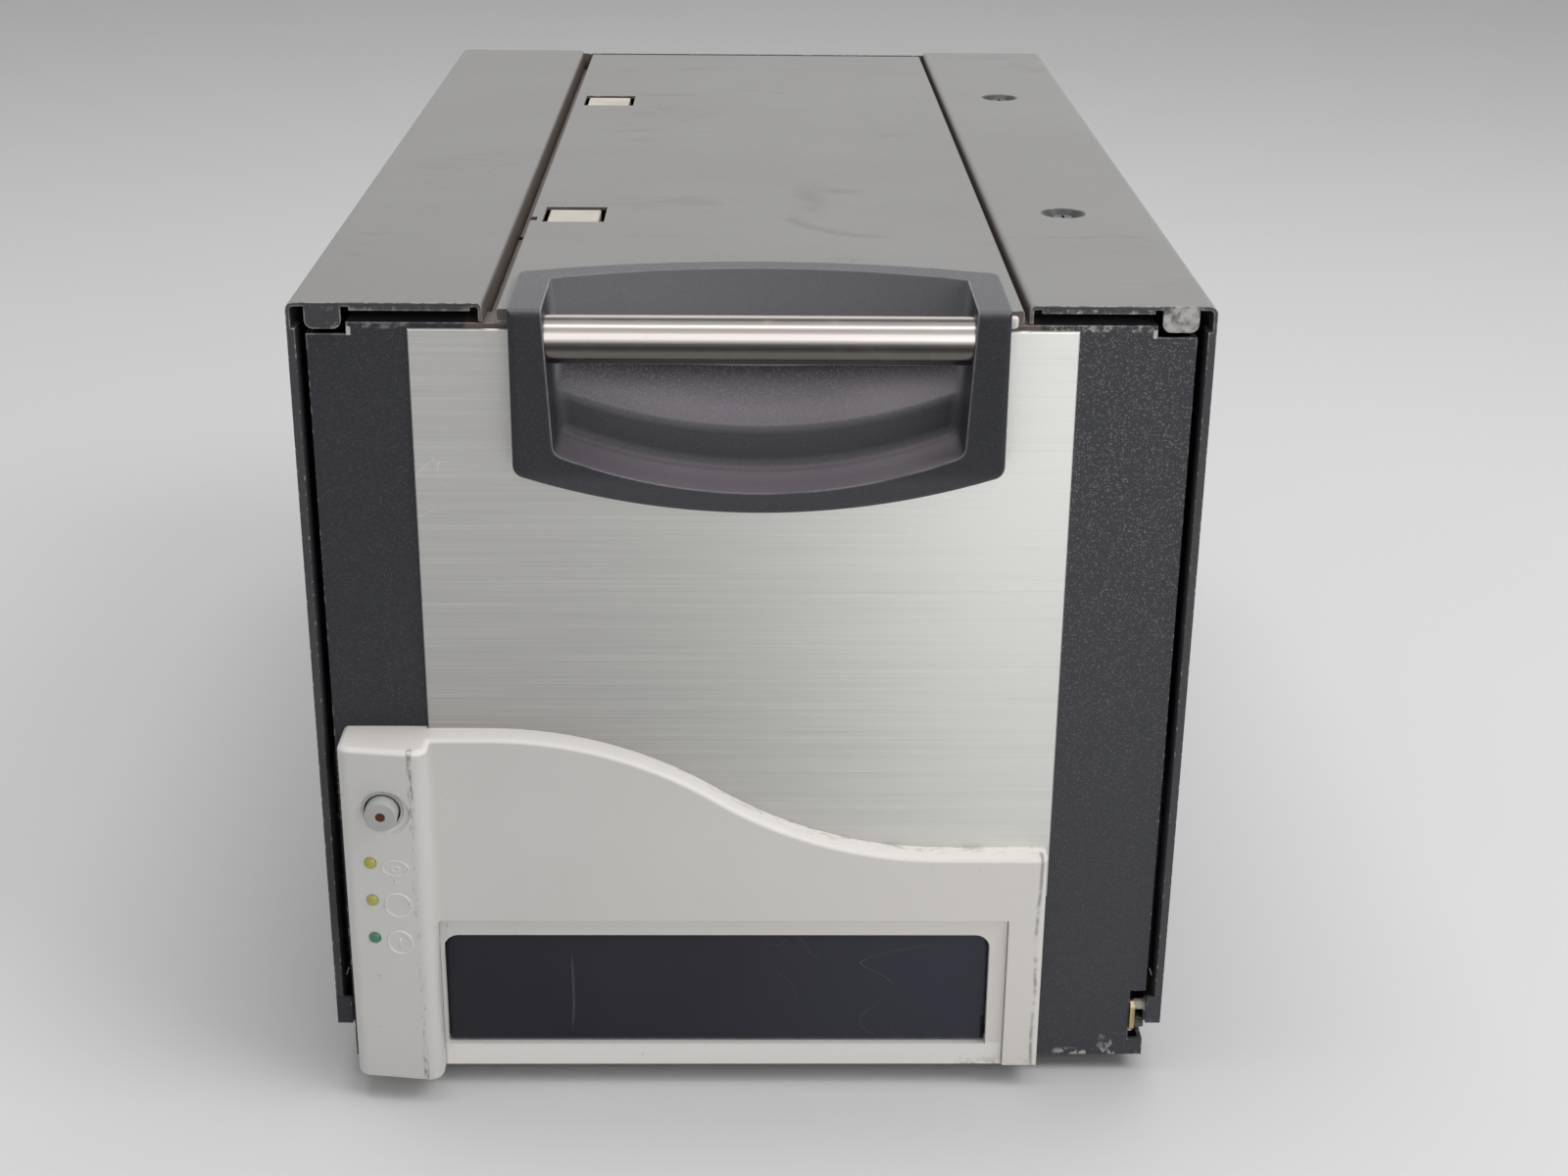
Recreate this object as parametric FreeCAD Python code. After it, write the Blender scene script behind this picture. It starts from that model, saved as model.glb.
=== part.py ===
"""Disc label printer: a steel housing, and a pull-out printing unit on telescopic rails.

Millimetres. X runs to the right seen from the front, Y to the back, Z up. The origin is on the
table under the middle of the printer. A row is a distance behind the front panel's face.
"""
import FreeCAD, Part
import os
from math import acos, asin, cos, pi, radians, sin, sqrt, tan

V = FreeCAD.Vector

# ---- fits and heights that everything shares ----
cover_top = 268.0
foot_height = 9.0
clearance = 0.3             # between pieces that move past each other
shaft_clearance = 0.05      # radial, a shaft in its bush
past = 1.0                  # how far a cutting shape runs past the face that it opens
near = 0.01                 # tolerance when an edge is picked by its place

# ---- widths, from the disc's tray outwards ----
disc_radius = 60.0
tray_centre = -10.9         # the tray lies left of the printer's middle
tray_half_width = 85.0
door_side = 4.1             # the door's overhang past each side of the tray
mouth_side_left = 1.8       # lower bezel's mouth past the door
mouth_side_right = 6.2
column_over_mouth = 0.6     # button column's edge past the mouth's
column_width = 28.6
column_inset = 3.0          # front panel's edge to button column
panel_side_gap = 4.0        # front panel's edge to the cover's inner face
cover_sheet = 1.2
pan_sheet = 1.2
rail_space = 13.1           # pan's wall to the printing unit's side plate

door_left = tray_centre - tray_half_width - door_side
door_right = tray_centre + tray_half_width + door_side
mouth_left = door_left - mouth_side_left
mouth_right = door_right + mouth_side_right
column_right = mouth_left + column_over_mouth
column_left = column_right - column_width
panel_half_width = column_inset - column_left
cover_inner = panel_half_width + panel_side_gap
half_width = cover_inner + cover_sheet
side_plate_face = cover_inner - pan_sheet - rail_space

# ---- depths, from the shafts' rows outwards ----
film_supply_row = 100.0
film_takeup_row = 178.0
platen_row = 262.0
head_pivot_row = 322.0
ribbon_supply_row = 250.0
ribbon_takeup_row = 345.0
plate_behind_takeup = 51.0  # side plates' length past the last shaft
rear_space = 59.0           # side plates to rear panel, for the power supply and the board
column_proud = 20.0         # how far the button column stands ahead of the front panel
button_ahead = 2.6          # the button is the foremost point
screw_radius = 2.0
screw_head_radius = 3.6
screw_head_height = 2.2     # the rear screws' heads are the rearmost points

plate_length = ribbon_takeup_row + plate_behind_takeup
face_to_rear = plate_length + rear_space
half_depth = (button_ahead + column_proud + face_to_rear + screw_head_height) / 2
face_y = button_ahead + column_proud - half_depth
rear_y = half_depth - screw_head_height

# ---- housing sheet metal ----
cover_bottom = 30.0
cover_ahead = 2.0           # covers' front edge ahead of the front panel's face
hem_depth = 8.0
left_cover_edge = -80.0     # inner edges of the covers' top flanges
right_cover_edge = 82.0
cover_lip = 9.0
pan_wall_top = 112.0
pan_setback = 16.0          # the pan starts this far behind the front panel's face
ear_height = 10.0
ear_width = 5.0
pan_slot_half = 60.0
pan_slot_width = 6.0
pan_slot_pitch = 48.0
pan_slot_start = 90.0
pan_slots = 6
locating_tab_width = 10.8
locating_tab_drop = 6.8
locating_tab_inset = 5.4    # tab's outer edge from the cover's side
locating_tab_round = 2.6
hem_gap = 2.5               # front hem to the lip and to the tab
rear_flange_depth = 12.0
cover_bend = 2.4
lip_bend = 1.8
rear_sheet = 1.2
dimple_inset = 31.0         # from the cover's side
dimple_rows = (119.0, 338.0)
dimple_radius = 7.8
dimple_taper = 3.0
dimple_depth = 3.4
screw_slot_half = 2.2
screw_slot_width = 0.9
screw_slot_depth = 1.0
screw_dome = 0.8
rear_screw_inset = 10.0
rear_screw_low = 40.0
rear_screw_below_top = 22.0

dimple_x = half_width - dimple_inset
cover_front = face_y - cover_ahead
cover_under = cover_top - cover_sheet
pan_front = face_y + pan_setback
pan_rear = rear_y - rear_sheet
pan_inner = cover_inner - pan_sheet
floor_top = foot_height + pan_sheet

# ---- feet ----
foot_radius = 10.0
foot_taper = 1.5
foot_inset_x = 24.0
foot_inset_front = 34.0
foot_inset_rear = 26.0
foot_recess_radius = 4.0
foot_recess_depth = 3.0

# ---- telescopic rails ----
rail_end_gap = 16.0         # side plate's end past the rail's
rail_centre_z = 80.0
rail_half_height = 22.5
rail_sheet = 1.5
rail_gap = 0.5
outer_rail_mouth = 1.5      # outer rail's open edge to the side plate
mid_rail_mouth = 2.0

rail_length = plate_length - rail_end_gap

# ---- front panel ----
panel_bottom = 6.0
panel_below_covers = 6.5
panel_sheet = 1.5
panel_return = 12.0
corner_notch_width = 12.0
corner_notch_depth = 3.6
latch_notch_width = 5.1
latch_notch_bottom = 12.0
latch_notch_top = 31.0
opening_margin = 1.5        # round the door and the tray
opening_over_door = 3.0

panel_top = cover_top - panel_below_covers

# ---- handle bezel and bar ----
bezel_centre_x = 2.0
bezel_half_width = 74.0
bezel_proud = 11.0
bezel_above_covers = 0.4
bezel_side_height = 51.4    # from the rim down to the outline's lower corners
bezel_middle_height = 63.4  # from the rim down to the middle of the lower arc
bezel_arm = 9.0
bezel_rear_corner = 34.0    # the top rim's rows at its ends and its middle
bezel_rear_middle = 48.0
bezel_rim = 8.5
bezel_lip = 7.0             # height of the rim below the recess
rim_overlap = 4.0           # how far the rim covers the sheets that it is fixed to
bezel_wall = 2.5
bezel_corner = 4.0
bezel_front_round = 2.4
scoop_ahead = 5.0           # the hand's space starts this far ahead of the rim
scoop_above = 20.0          # and reaches this far over it
scoop_taper = 3.5
scoop_step_row = 12.3
scoop_step = 13.0           # from the recess's floor up to its shelf
scoop_shelf_slope = 0.44
scoop_block_sag = 17.4      # the shelf's arc, over the bezel's whole width
scoop_foot_round = 3.4
scoop_shelf_round = 3.0
bar_radius = 7.3
bar_below_rim = 11.1
bar_ahead = 2.4
bar_seat = 2.0

bezel_top = cover_top + bezel_above_covers
bezel_side_bottom = bezel_top - bezel_side_height
bezel_arc_bottom = bezel_top - bezel_middle_height
bar_z = bezel_top - bar_below_rim
bar_half_length = bezel_half_width - bezel_arm + bar_seat

# ---- top panel and braces ----
top_gap_left = 4.0          # cover's lip to the top panel's edge
top_gap_right = 1.5
top_below_covers = 1.5
top_sheet = 1.2
top_rear_gap = 1.0          # between the top panel and the rear panel
top_flange_gap = 2.0        # behind the front panel's returned edge
brace_below_top = 14.5
brace_height = 14.0
brace_width = 34.0
brace_rows = (119.5, 333.0)
window_inset = 4.5
window_width = 21.0
window_length = 22.0
window_tab_width = 17.6
window_tab_length = 19.0
window_tab_left = 0.3       # the tab lies to the left of and ahead of the window's middle
window_tab_ahead = 1.0
window_tab_below = 0.3
window_tab_round = 0.8
ledge_drop = 7.0
hook_ahead = 9.0            # hook's notch ahead of the front brace's middle
hook_width = 5.0
hook_depth = 2.5

top_left = left_cover_edge + top_gap_left
top_right = right_cover_edge - top_gap_right
top_z = cover_top - top_below_covers
brace_top = top_z - brace_below_top
window_left = top_left + window_inset

# ---- tray door ----
door_height = 40.2
door_thickness = 3.0
door_corner = 5.0
door_gap = 0.4
door_top_gap = 0.6
door_tail = 2.6             # below the pin's axis
door_recess = 4.0           # door's face behind the lower bezel's face
door_edge_round = 0.9
hinge_z = 19.0
hinge_pin_radius = 1.5
hinge_pin_reach = 3.4
sill_below_pin = 3.6

door_top = hinge_z - door_tail + door_height

# ---- lower bezel ----
column_top = 129.0
column_bottom = 8.0
column_corner = 4.5
column_fall = 4.0           # the column's front falls back this far at its left edge
column_end_round = 2.0
bezel_face_proud = 10.0
mouth_to_right = 11.6       # from the mouth to the bezel's right edge
lower_bottom = 7.5
lower_wall = 2.5
lower_edge_round = 1.6
wave_level = 18.2           # the top edge is level this far, then falls in two tangent arcs
wave_tail = 34.0            # level stretch at the right end
wave_drop = 42.6
wave_crest_share = 0.495    # the convex arc's share of the two radii together
mouth_over_door = 6.9
frame_fit = 0.2
frame_recess = 2.0

lower_right = mouth_right + mouth_to_right
wave_start_x = column_right + wave_level
wave_end_x = lower_right - wave_tail
mouth_top = door_top + mouth_over_door
bezel_face_y = face_y - bezel_face_proud
column_y = face_y - column_proud
column_inner_y = column_y + column_fall + lower_wall
hinge_y = bezel_face_y + door_recess + door_thickness / 2

# ---- aluminium fascia ----
fascia_overhang = 1.4       # past the lower bezel's face on each side
fascia_over_mouth = 4.5
fascia_below_panel = 1.6
fascia_sheet = 1.5
fascia_chamfer = 0.4

fascia_left = column_right - fascia_overhang
fascia_right = lower_right + fascia_overhang
fascia_bottom = mouth_top + fascia_over_mouth
fascia_top = panel_top - fascia_below_panel

# ---- disc tray and its drive ----
tray_park = 84.0            # tray's nose behind the hinge axis
tray_length = 230.0
tray_thickness = 7.7
tray_below_door = 1.6       # tray's top below the door's
tray_corner = 5.0
disc_fit = 0.8
disc_recess_depth = 3.2
finger_radius = 11.0
finger_depth = 2.0
nose_margin = 8.0
tray_window_gap = 10.0      # behind the disc's recess
tray_window_rear = 14.0
tray_window_side = 18.0
hub_radius = 7.4
hub_neck = 3.0              # hub's crown past its stem
hub_height = 3.0
hub_stem_lift = 1.5
hub_round = 1.0
hub_slot = (1.2, 3.4, 0.4)  # width, reach and height above the seat
hub_slots = 3
guide_wall = 3.0
guide_lip = 3.0
gear_module = 1.25
pinion_teeth = 18
pressure_angle = 20.0
pinion_width = 8.0
pinion_from_edge = 12.9     # tray's right edge to the pinion's middle
pinion_row = 91.0
pinion_hub_radius = 5.0
rack_backing = 2.0
tooth_backlash = 0.25
flank_steps = 4
motor_can_radius = 10.8
motor_can_length = 28.0
motor_cap_length = 2.4
motor_cap_step = 5.0
motor_shaft_radius = 2.0
motor_shaft_engaged = 12.0
motor_plate_half = 15.0
motor_plate_drop = 13.0

tray_top = door_top - tray_below_door
tray_bottom = tray_top - tray_thickness
tray_nose = hinge_y + tray_park
tray_rear = tray_nose + tray_length
disc_seat_radius = disc_radius + disc_fit
disc_y = tray_nose + nose_margin + disc_seat_radius
pinion_x = tray_centre + tray_half_width - pinion_from_edge
pitch_radius = gear_module * pinion_teeth / 2
tooth_pitch = pi * gear_module
root_depth = 1.25 * gear_module
pitch_z = tray_bottom - rack_backing - root_depth
pinion_z = pitch_z - pitch_radius
guide_inner_wall = tray_half_width + clearance
shelf_top = tray_bottom - clearance
motor_face_x = tray_centre + guide_inner_wall - guide_lip + guide_wall

# ---- button column ----
button_inset = 13.8         # from the column's left edge
button_below_top = 21.0
ring_radius = 6.7
ring_depth = 8.5            # behind the column's foremost edge
ring_round = 0.4
ring_flange = 1.6
ring_flange_sheet = 1.5
button_radius = 5.2
button_gap = 0.6            # round the cap, inside the ring
button_round = 0.9
button_flange = 1.4
button_flange_sheet = 1.5
dish_margin = 1.3           # the dish round the ring, set a little to the right and down
dish_shift = 0.9
dish_depth = 0.3
button_lens_radius = 1.6
button_lens_depth = 3.0
button_lens_recess = 0.4
lens_inset = 8.8
lens_below_top = (40.0, 53.5, 67.3)
lens_radius = 2.0
lens_ahead = 0.4
lens_round = 0.8
board_sheet = 1.6
board_gap = 4.0             # button board's face ahead of the front panel
board_side_gap = 0.2
board_margin = 10.0
switch_half = 3.0
switch_rise = 1.4
spacer_radius = 1.8
spacer_inset = 3.0
spacer_reach = 6.0

button_x = column_left + button_inset
button_z = column_top - button_below_top
lens_x = column_left + lens_inset
lens_rows = [column_top - below for below in lens_below_top]
board_face = face_y - board_gap

# ---- side plates, shafts, spools and rollers ----
plate_sheet = 1.5
plate_bottom = 14.0
plate_low_corner = 6.0
plate_high_corner = 12.0
bezel_relief = 2.0          # side plate's upper front corner below the handle bezel
shaft_radius = 4.0
bush_radius = 6.5
bush_flange_radius = 8.5
bush_length = 4.0
web_centre = -10.0
web_width = 130.0
core_radius = 12.7
flange_thickness = 2.0
supply_flange = 4.0         # supply spools' flanges past the core
drive_wheel = (8.0, 14.0)   # from and to, right of the web
wheel_notch_radius = 1.6
wheel_notches = 12
roll_gap = 1.0
roller_gap = 2.0
roller_wheel = (6.0, 14.0)
takeup_below_top = 33.0     # from the side plates' top
film_supply_below_top = 46.0
film_supply_roll_radius = 34.0
film_takeup_flange = 22.0
ribbon_supply_roll_radius = 25.0
ribbon_takeup_flange = 20.0
transfer_at = (75.0, 84.0)
transfer_radius = 18.0
transfer_wheel_step = 3.0
head_pivot_below_takeup = 40.0
platen_below_pivot = 25.0
platen_radius = 12.0
platen_wheel_step = 2.0
head_pivot_radius = 7.0
head_bar_height = 12.0
head_bar_depth = 18.0
head_bar_inset = 4.0
head_gap = 0.4
fin_groove = (2.5, 1.5, 4.0)        # first groove's place, its width and the pitch
fin_base = 5.0
fin_grooves = 4
cheek_sheet = 3.0
cheek_inset = 1.0
cheek_step = 2.0
tie_rod_radius = 5.0
rear_rod_inset = 11.0
rear_rod_low = 40.0
rear_rod_below_top = 16.0
guide_bar_radius = 3.0
guide_bars_at = ((140.0, 112.0), (215.0, 150.0))
motor_side = 42.0
motor_depth = 38.0
motor_corner = 4.0
motors_at = ((140.0, 150.0), (300.0, 110.0))
motor_boss = (2.0, 11.0)            # length and radius
stepper_shaft = (18.0, 2.5)
stepper_wheel = (17.0, 9.0, 6.0)    # far end, near end and radius
shroud_gap = 3.0
shroud_wall = 2.0
shroud_lift = 4.0

plate_inner = side_plate_face - plate_sheet
plate_top = brace_top - brace_height
takeup_z = plate_top - takeup_below_top
film_supply_at = (film_supply_row, plate_top - film_supply_below_top)
film_takeup_at = (film_takeup_row, takeup_z)
ribbon_supply_at = (ribbon_supply_row, takeup_z)
ribbon_takeup_at = (ribbon_takeup_row, takeup_z)
head_pivot_at = (head_pivot_row, takeup_z - head_pivot_below_takeup)
platen_at = (platen_row, head_pivot_at[1] - platen_below_pivot)
rear_rod_row = plate_length - rear_rod_inset
tie_rods_at = ((30.0, 150.0), (200.0, 90.0), (ribbon_takeup_row, 110.0),
               (rear_rod_row, rear_rod_low), (rear_rod_row, plate_top - rear_rod_below_top))
web_left = web_centre - web_width / 2
web_right = web_centre + web_width / 2

# ---- rear electrics ----
standoff_height = 8.0
supply_inset = 14.0
supply_width = 96.0
supply_depth = 38.0
supply_height = 110.0
supply_slot = (8.0, 4.0, 9.0)       # first slot's place, its width and the pitch
supply_slots = 9
supply_slot_end = 6.0
supply_slot_depth = 1.5
inlet_from_supply = 42.0            # supply's left side to the inlet and the switch
inlet_z = 42.0
inlet_width = 27.0
inlet_height = 20.0
inlet_flange = 5.0
inlet_flange_rise = 2.0
inlet_flange_sheet = 2.0
inlet_depth = 20.0
inlet_socket_depth = 15.0
inlet_wall = 2.0
inlet_key = 4.0                     # the socket's two cut corners
inlet_key_z = 3.0                   # their lower ends above the middle
inlet_pin = (2.0, 4.0)
inlet_pin_tip = 3.0                 # behind the panel's face
inlet_pins_at = ((-7.0, -2.0), (7.0, -2.0), (0.0, 3.0))
fit_gap = 0.2                       # an inlet, switch or port in its cut-out
switch_z = 78.0
switch_width = 28.0
switch_height = 21.0
switch_flange = 1.5
switch_flange_sheet = 1.6
switch_depth = 16.0
switch_wall = 3.0
switch_well_depth = 13.0
rocker_gap = 0.5
rocker_pin_depth = 5.0              # rocker's pin behind the panel's face
rocker_tip = 5.5
rocker_middle = 3.6
rocker_back = 2.0
rocker_belly = 4.0
rocker_taper = 1.2
rocker_rounds = (0.8, 1.0)
electrics_room = 22.0               # supply's recess for the inlet and the switch
electrics_room_edge = 16.0
fan_inset = 80.0            # from the housing's side
fan_below_top = 76.0
fan_side = 80.0
fan_depth = 25.0
fan_corner = 4.0
fan_bore_radius = 37.5
fan_hub_radius = 16.0
fan_hub_sheet = 4.0
fan_strut = (3.0, 2.0)              # depth and half width
fan_spindle = (18.0, 1.5)
fan_hole = (35.75, 2.15)            # place from the middle and radius
fan_blades = 7
fan_tip_gap = 1.2
blade_sheet = 1.6
blade_chord = 17.0
blade_pitch = 50.0
rotor_gap = 0.5
rotor_recess = 2.0
board_left = 0.0
board_width = 116.0
board_height = 100.0
board_bottom = 24.0
board_standoff_radius = 3.0
board_standoff_inset = 6.0
processor = (20.0, 66.0, 30.0, 26.0, 3.0)     # from left, from bottom, width, height, rise
memory = (64.0, 56.0, 20.0, 20.0, 2.5)
capacitor = (96.0, 60.0, 9.0, 14.0, 4.0, 14.0)  # place, offset, pitch, radius, height
capacitors = 3
port_z = 52.0
usb_x = 30.0
usb_width = 13.0
usb_height = 12.0
data_x = 76.0
data_width = 40.0
data_height = 12.0
port_fit = 0.3
port_wall = 1.2
port_floor = 2.0
port_ahead = 0.8
tongue_inset = 4.0
tongue_half = 1.2
grille_pitch = 8.0
grille_half = 2.2
grille_rows = 9
vent_half = 1.6
vent_rows = 7
vent_left = -100.0
vent_right = -30.0

supply_left = -half_width + supply_inset
inlet_x = supply_left + inlet_from_supply
switch_x = inlet_x
fan_x = half_width - fan_inset
fan_z = cover_top - fan_below_top
fan_back = pan_rear
fan_front = fan_back - fan_depth
standoff_y = pan_rear - standoff_height

# ---- latch ----
latch_pivot_row = 24.0
latch_pivot_z = 22.0
latch_pin_radius = 2.0
latch_pin_reach = 2.0
latch_sheet = 1.5
latch_inset = 4.8           # from the front panel's edge
latch_nose = 1.0            # lever's tip ahead of the front panel's face
latch_bend = 5.0            # half the length of the bend at the pin
latch_belly = 1.0
latch_shank = 20.0          # straight behind the pin
latch_nose_low = 6.0        # its outline, below and above the pivot
latch_nose_high = 5.0
latch_hook_row = 50.0
latch_hook_low = 2.0
latch_hook_high = 4.0
striker_gap = 4.0           # from the lever's side
striker_rows = (46.0, 49.0)
striker_top = 26.0

latch_x = panel_half_width - latch_inset


# ---- shape helpers ----
def box(x0, x1, y0, y1, z0, z1):
    return Part.makeBox(x1 - x0, y1 - y0, z1 - z0, V(x0, y0, z0))


def rod_x(x0, x1, y, z, r):
    return Part.makeCylinder(r, x1 - x0, V(x0, y, z), V(1, 0, 0))


def rod_y(y0, y1, x, z, r):
    return Part.makeCylinder(r, y1 - y0, V(x, y0, z), V(0, 1, 0))


def rod_z(z0, z1, x, y, r):
    return Part.makeCylinder(r, z1 - z0, V(x, y, z0), V(0, 0, 1))


def fuse(first, *others):
    return first.fuse(list(others)).removeSplitter()


def cut(shape, *tools):
    return shape.cut(list(tools))


def mirrored(shape):
    return shape.mirror(V(0, 0, 0), V(1, 0, 0))


def behind_face(row):
    return face_y + row


def rounded(shape, radius, is_wanted):
    """Fillets the edges whose middle point is_wanted accepts."""
    return shape.makeFillet(radius, [e for e in shape.Edges if is_wanted(e.CenterOfMass)])


def at_y(y):
    return lambda middle: abs(middle.y - y) < near


def across_x(x):
    """Maps a drawing of (y, z) to the plane at this x."""
    return lambda y, z: V(x, y, z)


def across_y(y):
    """Maps a drawing of (x, z) to the plane at this y."""
    return lambda x, z: V(x, y, z)


def across_z(z):
    """Maps a drawing of (x, y) to the plane at this z."""
    return lambda x, y: V(x, y, z)


def rounded_face(corners, spot):
    """A flat face through (u, v) or (u, v, radius) corners, with tangent arcs at the radii."""
    points = [V(c[0], c[1], 0) for c in corners]
    radii = [c[2] if len(c) > 2 else 0.0 for c in corners]
    arrivals, departures, middles = [], [], []
    for i, here in enumerate(points):
        back = (points[i - 1] - here).normalize()
        ahead = (points[(i + 1) % len(points)] - here).normalize()
        half_turn = acos(max(-1.0, min(1.0, back.dot(ahead)))) / 2
        reach = radii[i] / tan(half_turn)
        inward = (back + ahead).normalize() if radii[i] else V(0, 0, 0)
        arrivals.append(here + back * reach)
        departures.append(here + ahead * reach)
        middles.append(here + inward * (radii[i] / sin(half_turn) - radii[i]))
    edges = []
    for i in range(len(points)):
        following = (i + 1) % len(points)
        if radii[i]:
            ends = [spot(p.x, p.y) for p in (arrivals[i], middles[i], departures[i])]
            edges.append(Part.Arc(*ends).toShape())
        start, stop = spot(*departures[i][:2]), spot(*arrivals[following][:2])
        if (stop - start).Length > 1e-6:
            edges.append(Part.makeLine(start, stop))
    return Part.Face(Part.Wire(edges))


def prism_x(corners, x0, x1):
    return rounded_face(corners, across_x(x0)).extrude(V(x1 - x0, 0, 0))


def prism_y(corners, y0, y1):
    return rounded_face(corners, across_y(y0)).extrude(V(0, y1 - y0, 0))


def prism_z(corners, z0, z1):
    return rounded_face(corners, across_z(z0)).extrude(V(0, 0, z1 - z0))


def corners_of(u0, u1, v0, v1, radius=0.0):
    return [(u0, v0, radius), (u1, v0, radius), (u1, v1, radius), (u0, v1, radius)]


def around(u, v, width, height, radius=0.0):
    """Corners of a rectangle about its middle."""
    return corners_of(u - width / 2, u + width / 2, v - height / 2, v + height / 2, radius)


# ---- housing ----
def foot_places():
    xs = (-half_width + foot_inset_x, half_width - foot_inset_x)
    return [(x, y) for x in xs for y in (behind_face(foot_inset_front), rear_y - foot_inset_rear)]


def base_pan():
    """Steel tray with side walls; two ears at its front corners close the covers' lower ends."""
    floor = box(-cover_inner, cover_inner, pan_front, pan_rear, foot_height, floor_top)
    wall = box(pan_inner, cover_inner, pan_front, pan_rear, foot_height, pan_wall_top)
    ear_top = cover_bottom - clearance
    ear_low = ear_top - ear_height
    ear = fuse(box(pan_inner, cover_inner, cover_front, pan_front, ear_low, ear_top),
               box(half_width - ear_width, half_width, cover_front, cover_front + pan_sheet,
                   ear_low, ear_top))
    striker = box(latch_x + striker_gap, pan_inner, behind_face(striker_rows[0]),
                  behind_face(striker_rows[1]), floor_top, striker_top)
    pan = fuse(floor, wall, mirrored(wall), ear, mirrored(ear), striker)
    holes = [rod_z(foot_height, floor_top, x, y, screw_radius) for x, y in foot_places()]
    for i in range(pan_slots):
        y = pan_front + pan_slot_start + pan_slot_pitch * i
        slot = corners_of(-pan_slot_half, pan_slot_half, y, y + pan_slot_width, pan_slot_width / 2 - 0.1)
        holes.append(prism_z(slot, foot_height - past, floor_top + past))
    return cut(pan, *holes)


def rubber_feet():
    feet = []
    for x, y in foot_places():
        foot = Part.makeCone(foot_radius - foot_taper, foot_radius, foot_height, V(x, y, 0))
        stem = rod_z(foot_height, floor_top, x, y, screw_radius)
        recess = rod_z(0, foot_recess_depth, x, y, foot_recess_radius)
        feet.append(cut(fuse(foot, stem), recess))
    return Part.makeCompound(feet)


def side_cover(edge):
    """A folded cover on the right-hand side, whose top reaches in to this edge."""
    lip_low = cover_top - cover_lip
    wall = prism_y([(cover_inner, cover_bottom), (half_width, cover_bottom),
                    (half_width, cover_top, cover_bend), (edge, cover_top, lip_bend),
                    (edge, lip_low), (edge + cover_sheet, lip_low),
                    (edge + cover_sheet, cover_under, lip_bend - cover_sheet),
                    (cover_inner, cover_under, cover_bend - cover_sheet)], cover_front, rear_y)
    tab_low = cover_under - locating_tab_drop
    tab_out = half_width - locating_tab_inset
    tab_in = tab_out - locating_tab_width
    hem_rear = cover_front + hem_depth
    side_hem = box(cover_inner - cover_sheet, cover_inner, cover_front, hem_rear, cover_bottom, tab_low)
    top_hem = box(edge + cover_sheet + hem_gap, tab_in - hem_gap, cover_front, hem_rear,
                  cover_under - cover_sheet, cover_under)
    tab = prism_y([(tab_in, cover_under), (tab_in, tab_low, locating_tab_round),
                   (tab_out, tab_low, locating_tab_round), (tab_out, cover_under)],
                  cover_front, cover_front + cover_sheet)
    rear_flange = box(cover_inner - rear_flange_depth, cover_inner, pan_rear - cover_sheet, pan_rear,
                      pan_wall_top + hem_gap, cover_under)
    panel_gap = box(edge - past, edge + cover_sheet + past, cover_front - past,
                    behind_face(panel_return + top_flange_gap), lip_low - past, panel_top + past)
    rear_gap = box(edge - past, cover_inner, pan_rear, rear_y + past, lip_low - past, cover_under)
    return cut(fuse(wall, side_hem, top_hem, tab, rear_flange), panel_gap, rear_gap)


def left_cover():
    return mirrored(side_cover(-left_cover_edge))


def dimple_places():
    return [behind_face(row) for row in dimple_rows]


def right_cover():
    """The right cover's top is dimpled for its two screws."""
    cover = side_cover(right_cover_edge)
    seat = cover_top - dimple_depth
    small = dimple_radius - dimple_taper
    for y in dimple_places():
        outside = Part.makeCone(small + cover_sheet, dimple_radius + cover_sheet, dimple_depth,
                                V(dimple_x, y, seat - cover_sheet))
        inside = Part.makeCone(small, dimple_radius, dimple_depth, V(dimple_x, y, seat))
        hole = rod_z(seat - 2 * cover_sheet, seat, dimple_x, y, screw_radius)
        cover = cut(fuse(cover, outside), inside, hole)
    return cover


def pan_head(depth):
    """Cross-head screw standing up from z = 0, its shank below."""
    head = Part.makeCylinder(screw_head_radius, screw_head_height)
    head = head.makeFillet(screw_dome, [head.Edges[0]])
    shank = Part.makeCylinder(screw_radius, depth, V(0, 0, -depth))
    reach, half = screw_slot_half, screw_slot_width / 2
    low, high = screw_head_height - screw_slot_depth, screw_head_height + past
    slots = [box(-reach, reach, -half, half, low, high), box(-half, half, -reach, reach, low, high)]
    return cut(fuse(head, shank), *slots)


def rear_screw_places():
    xs = (-half_width + rear_screw_inset, half_width - rear_screw_inset)
    return [(x, z) for x in xs for z in (rear_screw_low, cover_top - rear_screw_below_top)]


def cover_screws():
    screws = []
    for y in dimple_places():
        screw = pan_head(cover_sheet)
        screw.translate(V(dimple_x, y, cover_top - dimple_depth))
        screws.append(screw)
    for x, z in rear_screw_places():
        screw = pan_head(rear_sheet)
        screw.rotate(V(0, 0, 0), V(1, 0, 0), -90)
        screw.translate(V(x, rear_y, z))
        screws.append(screw)
    return Part.makeCompound(screws)


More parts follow.
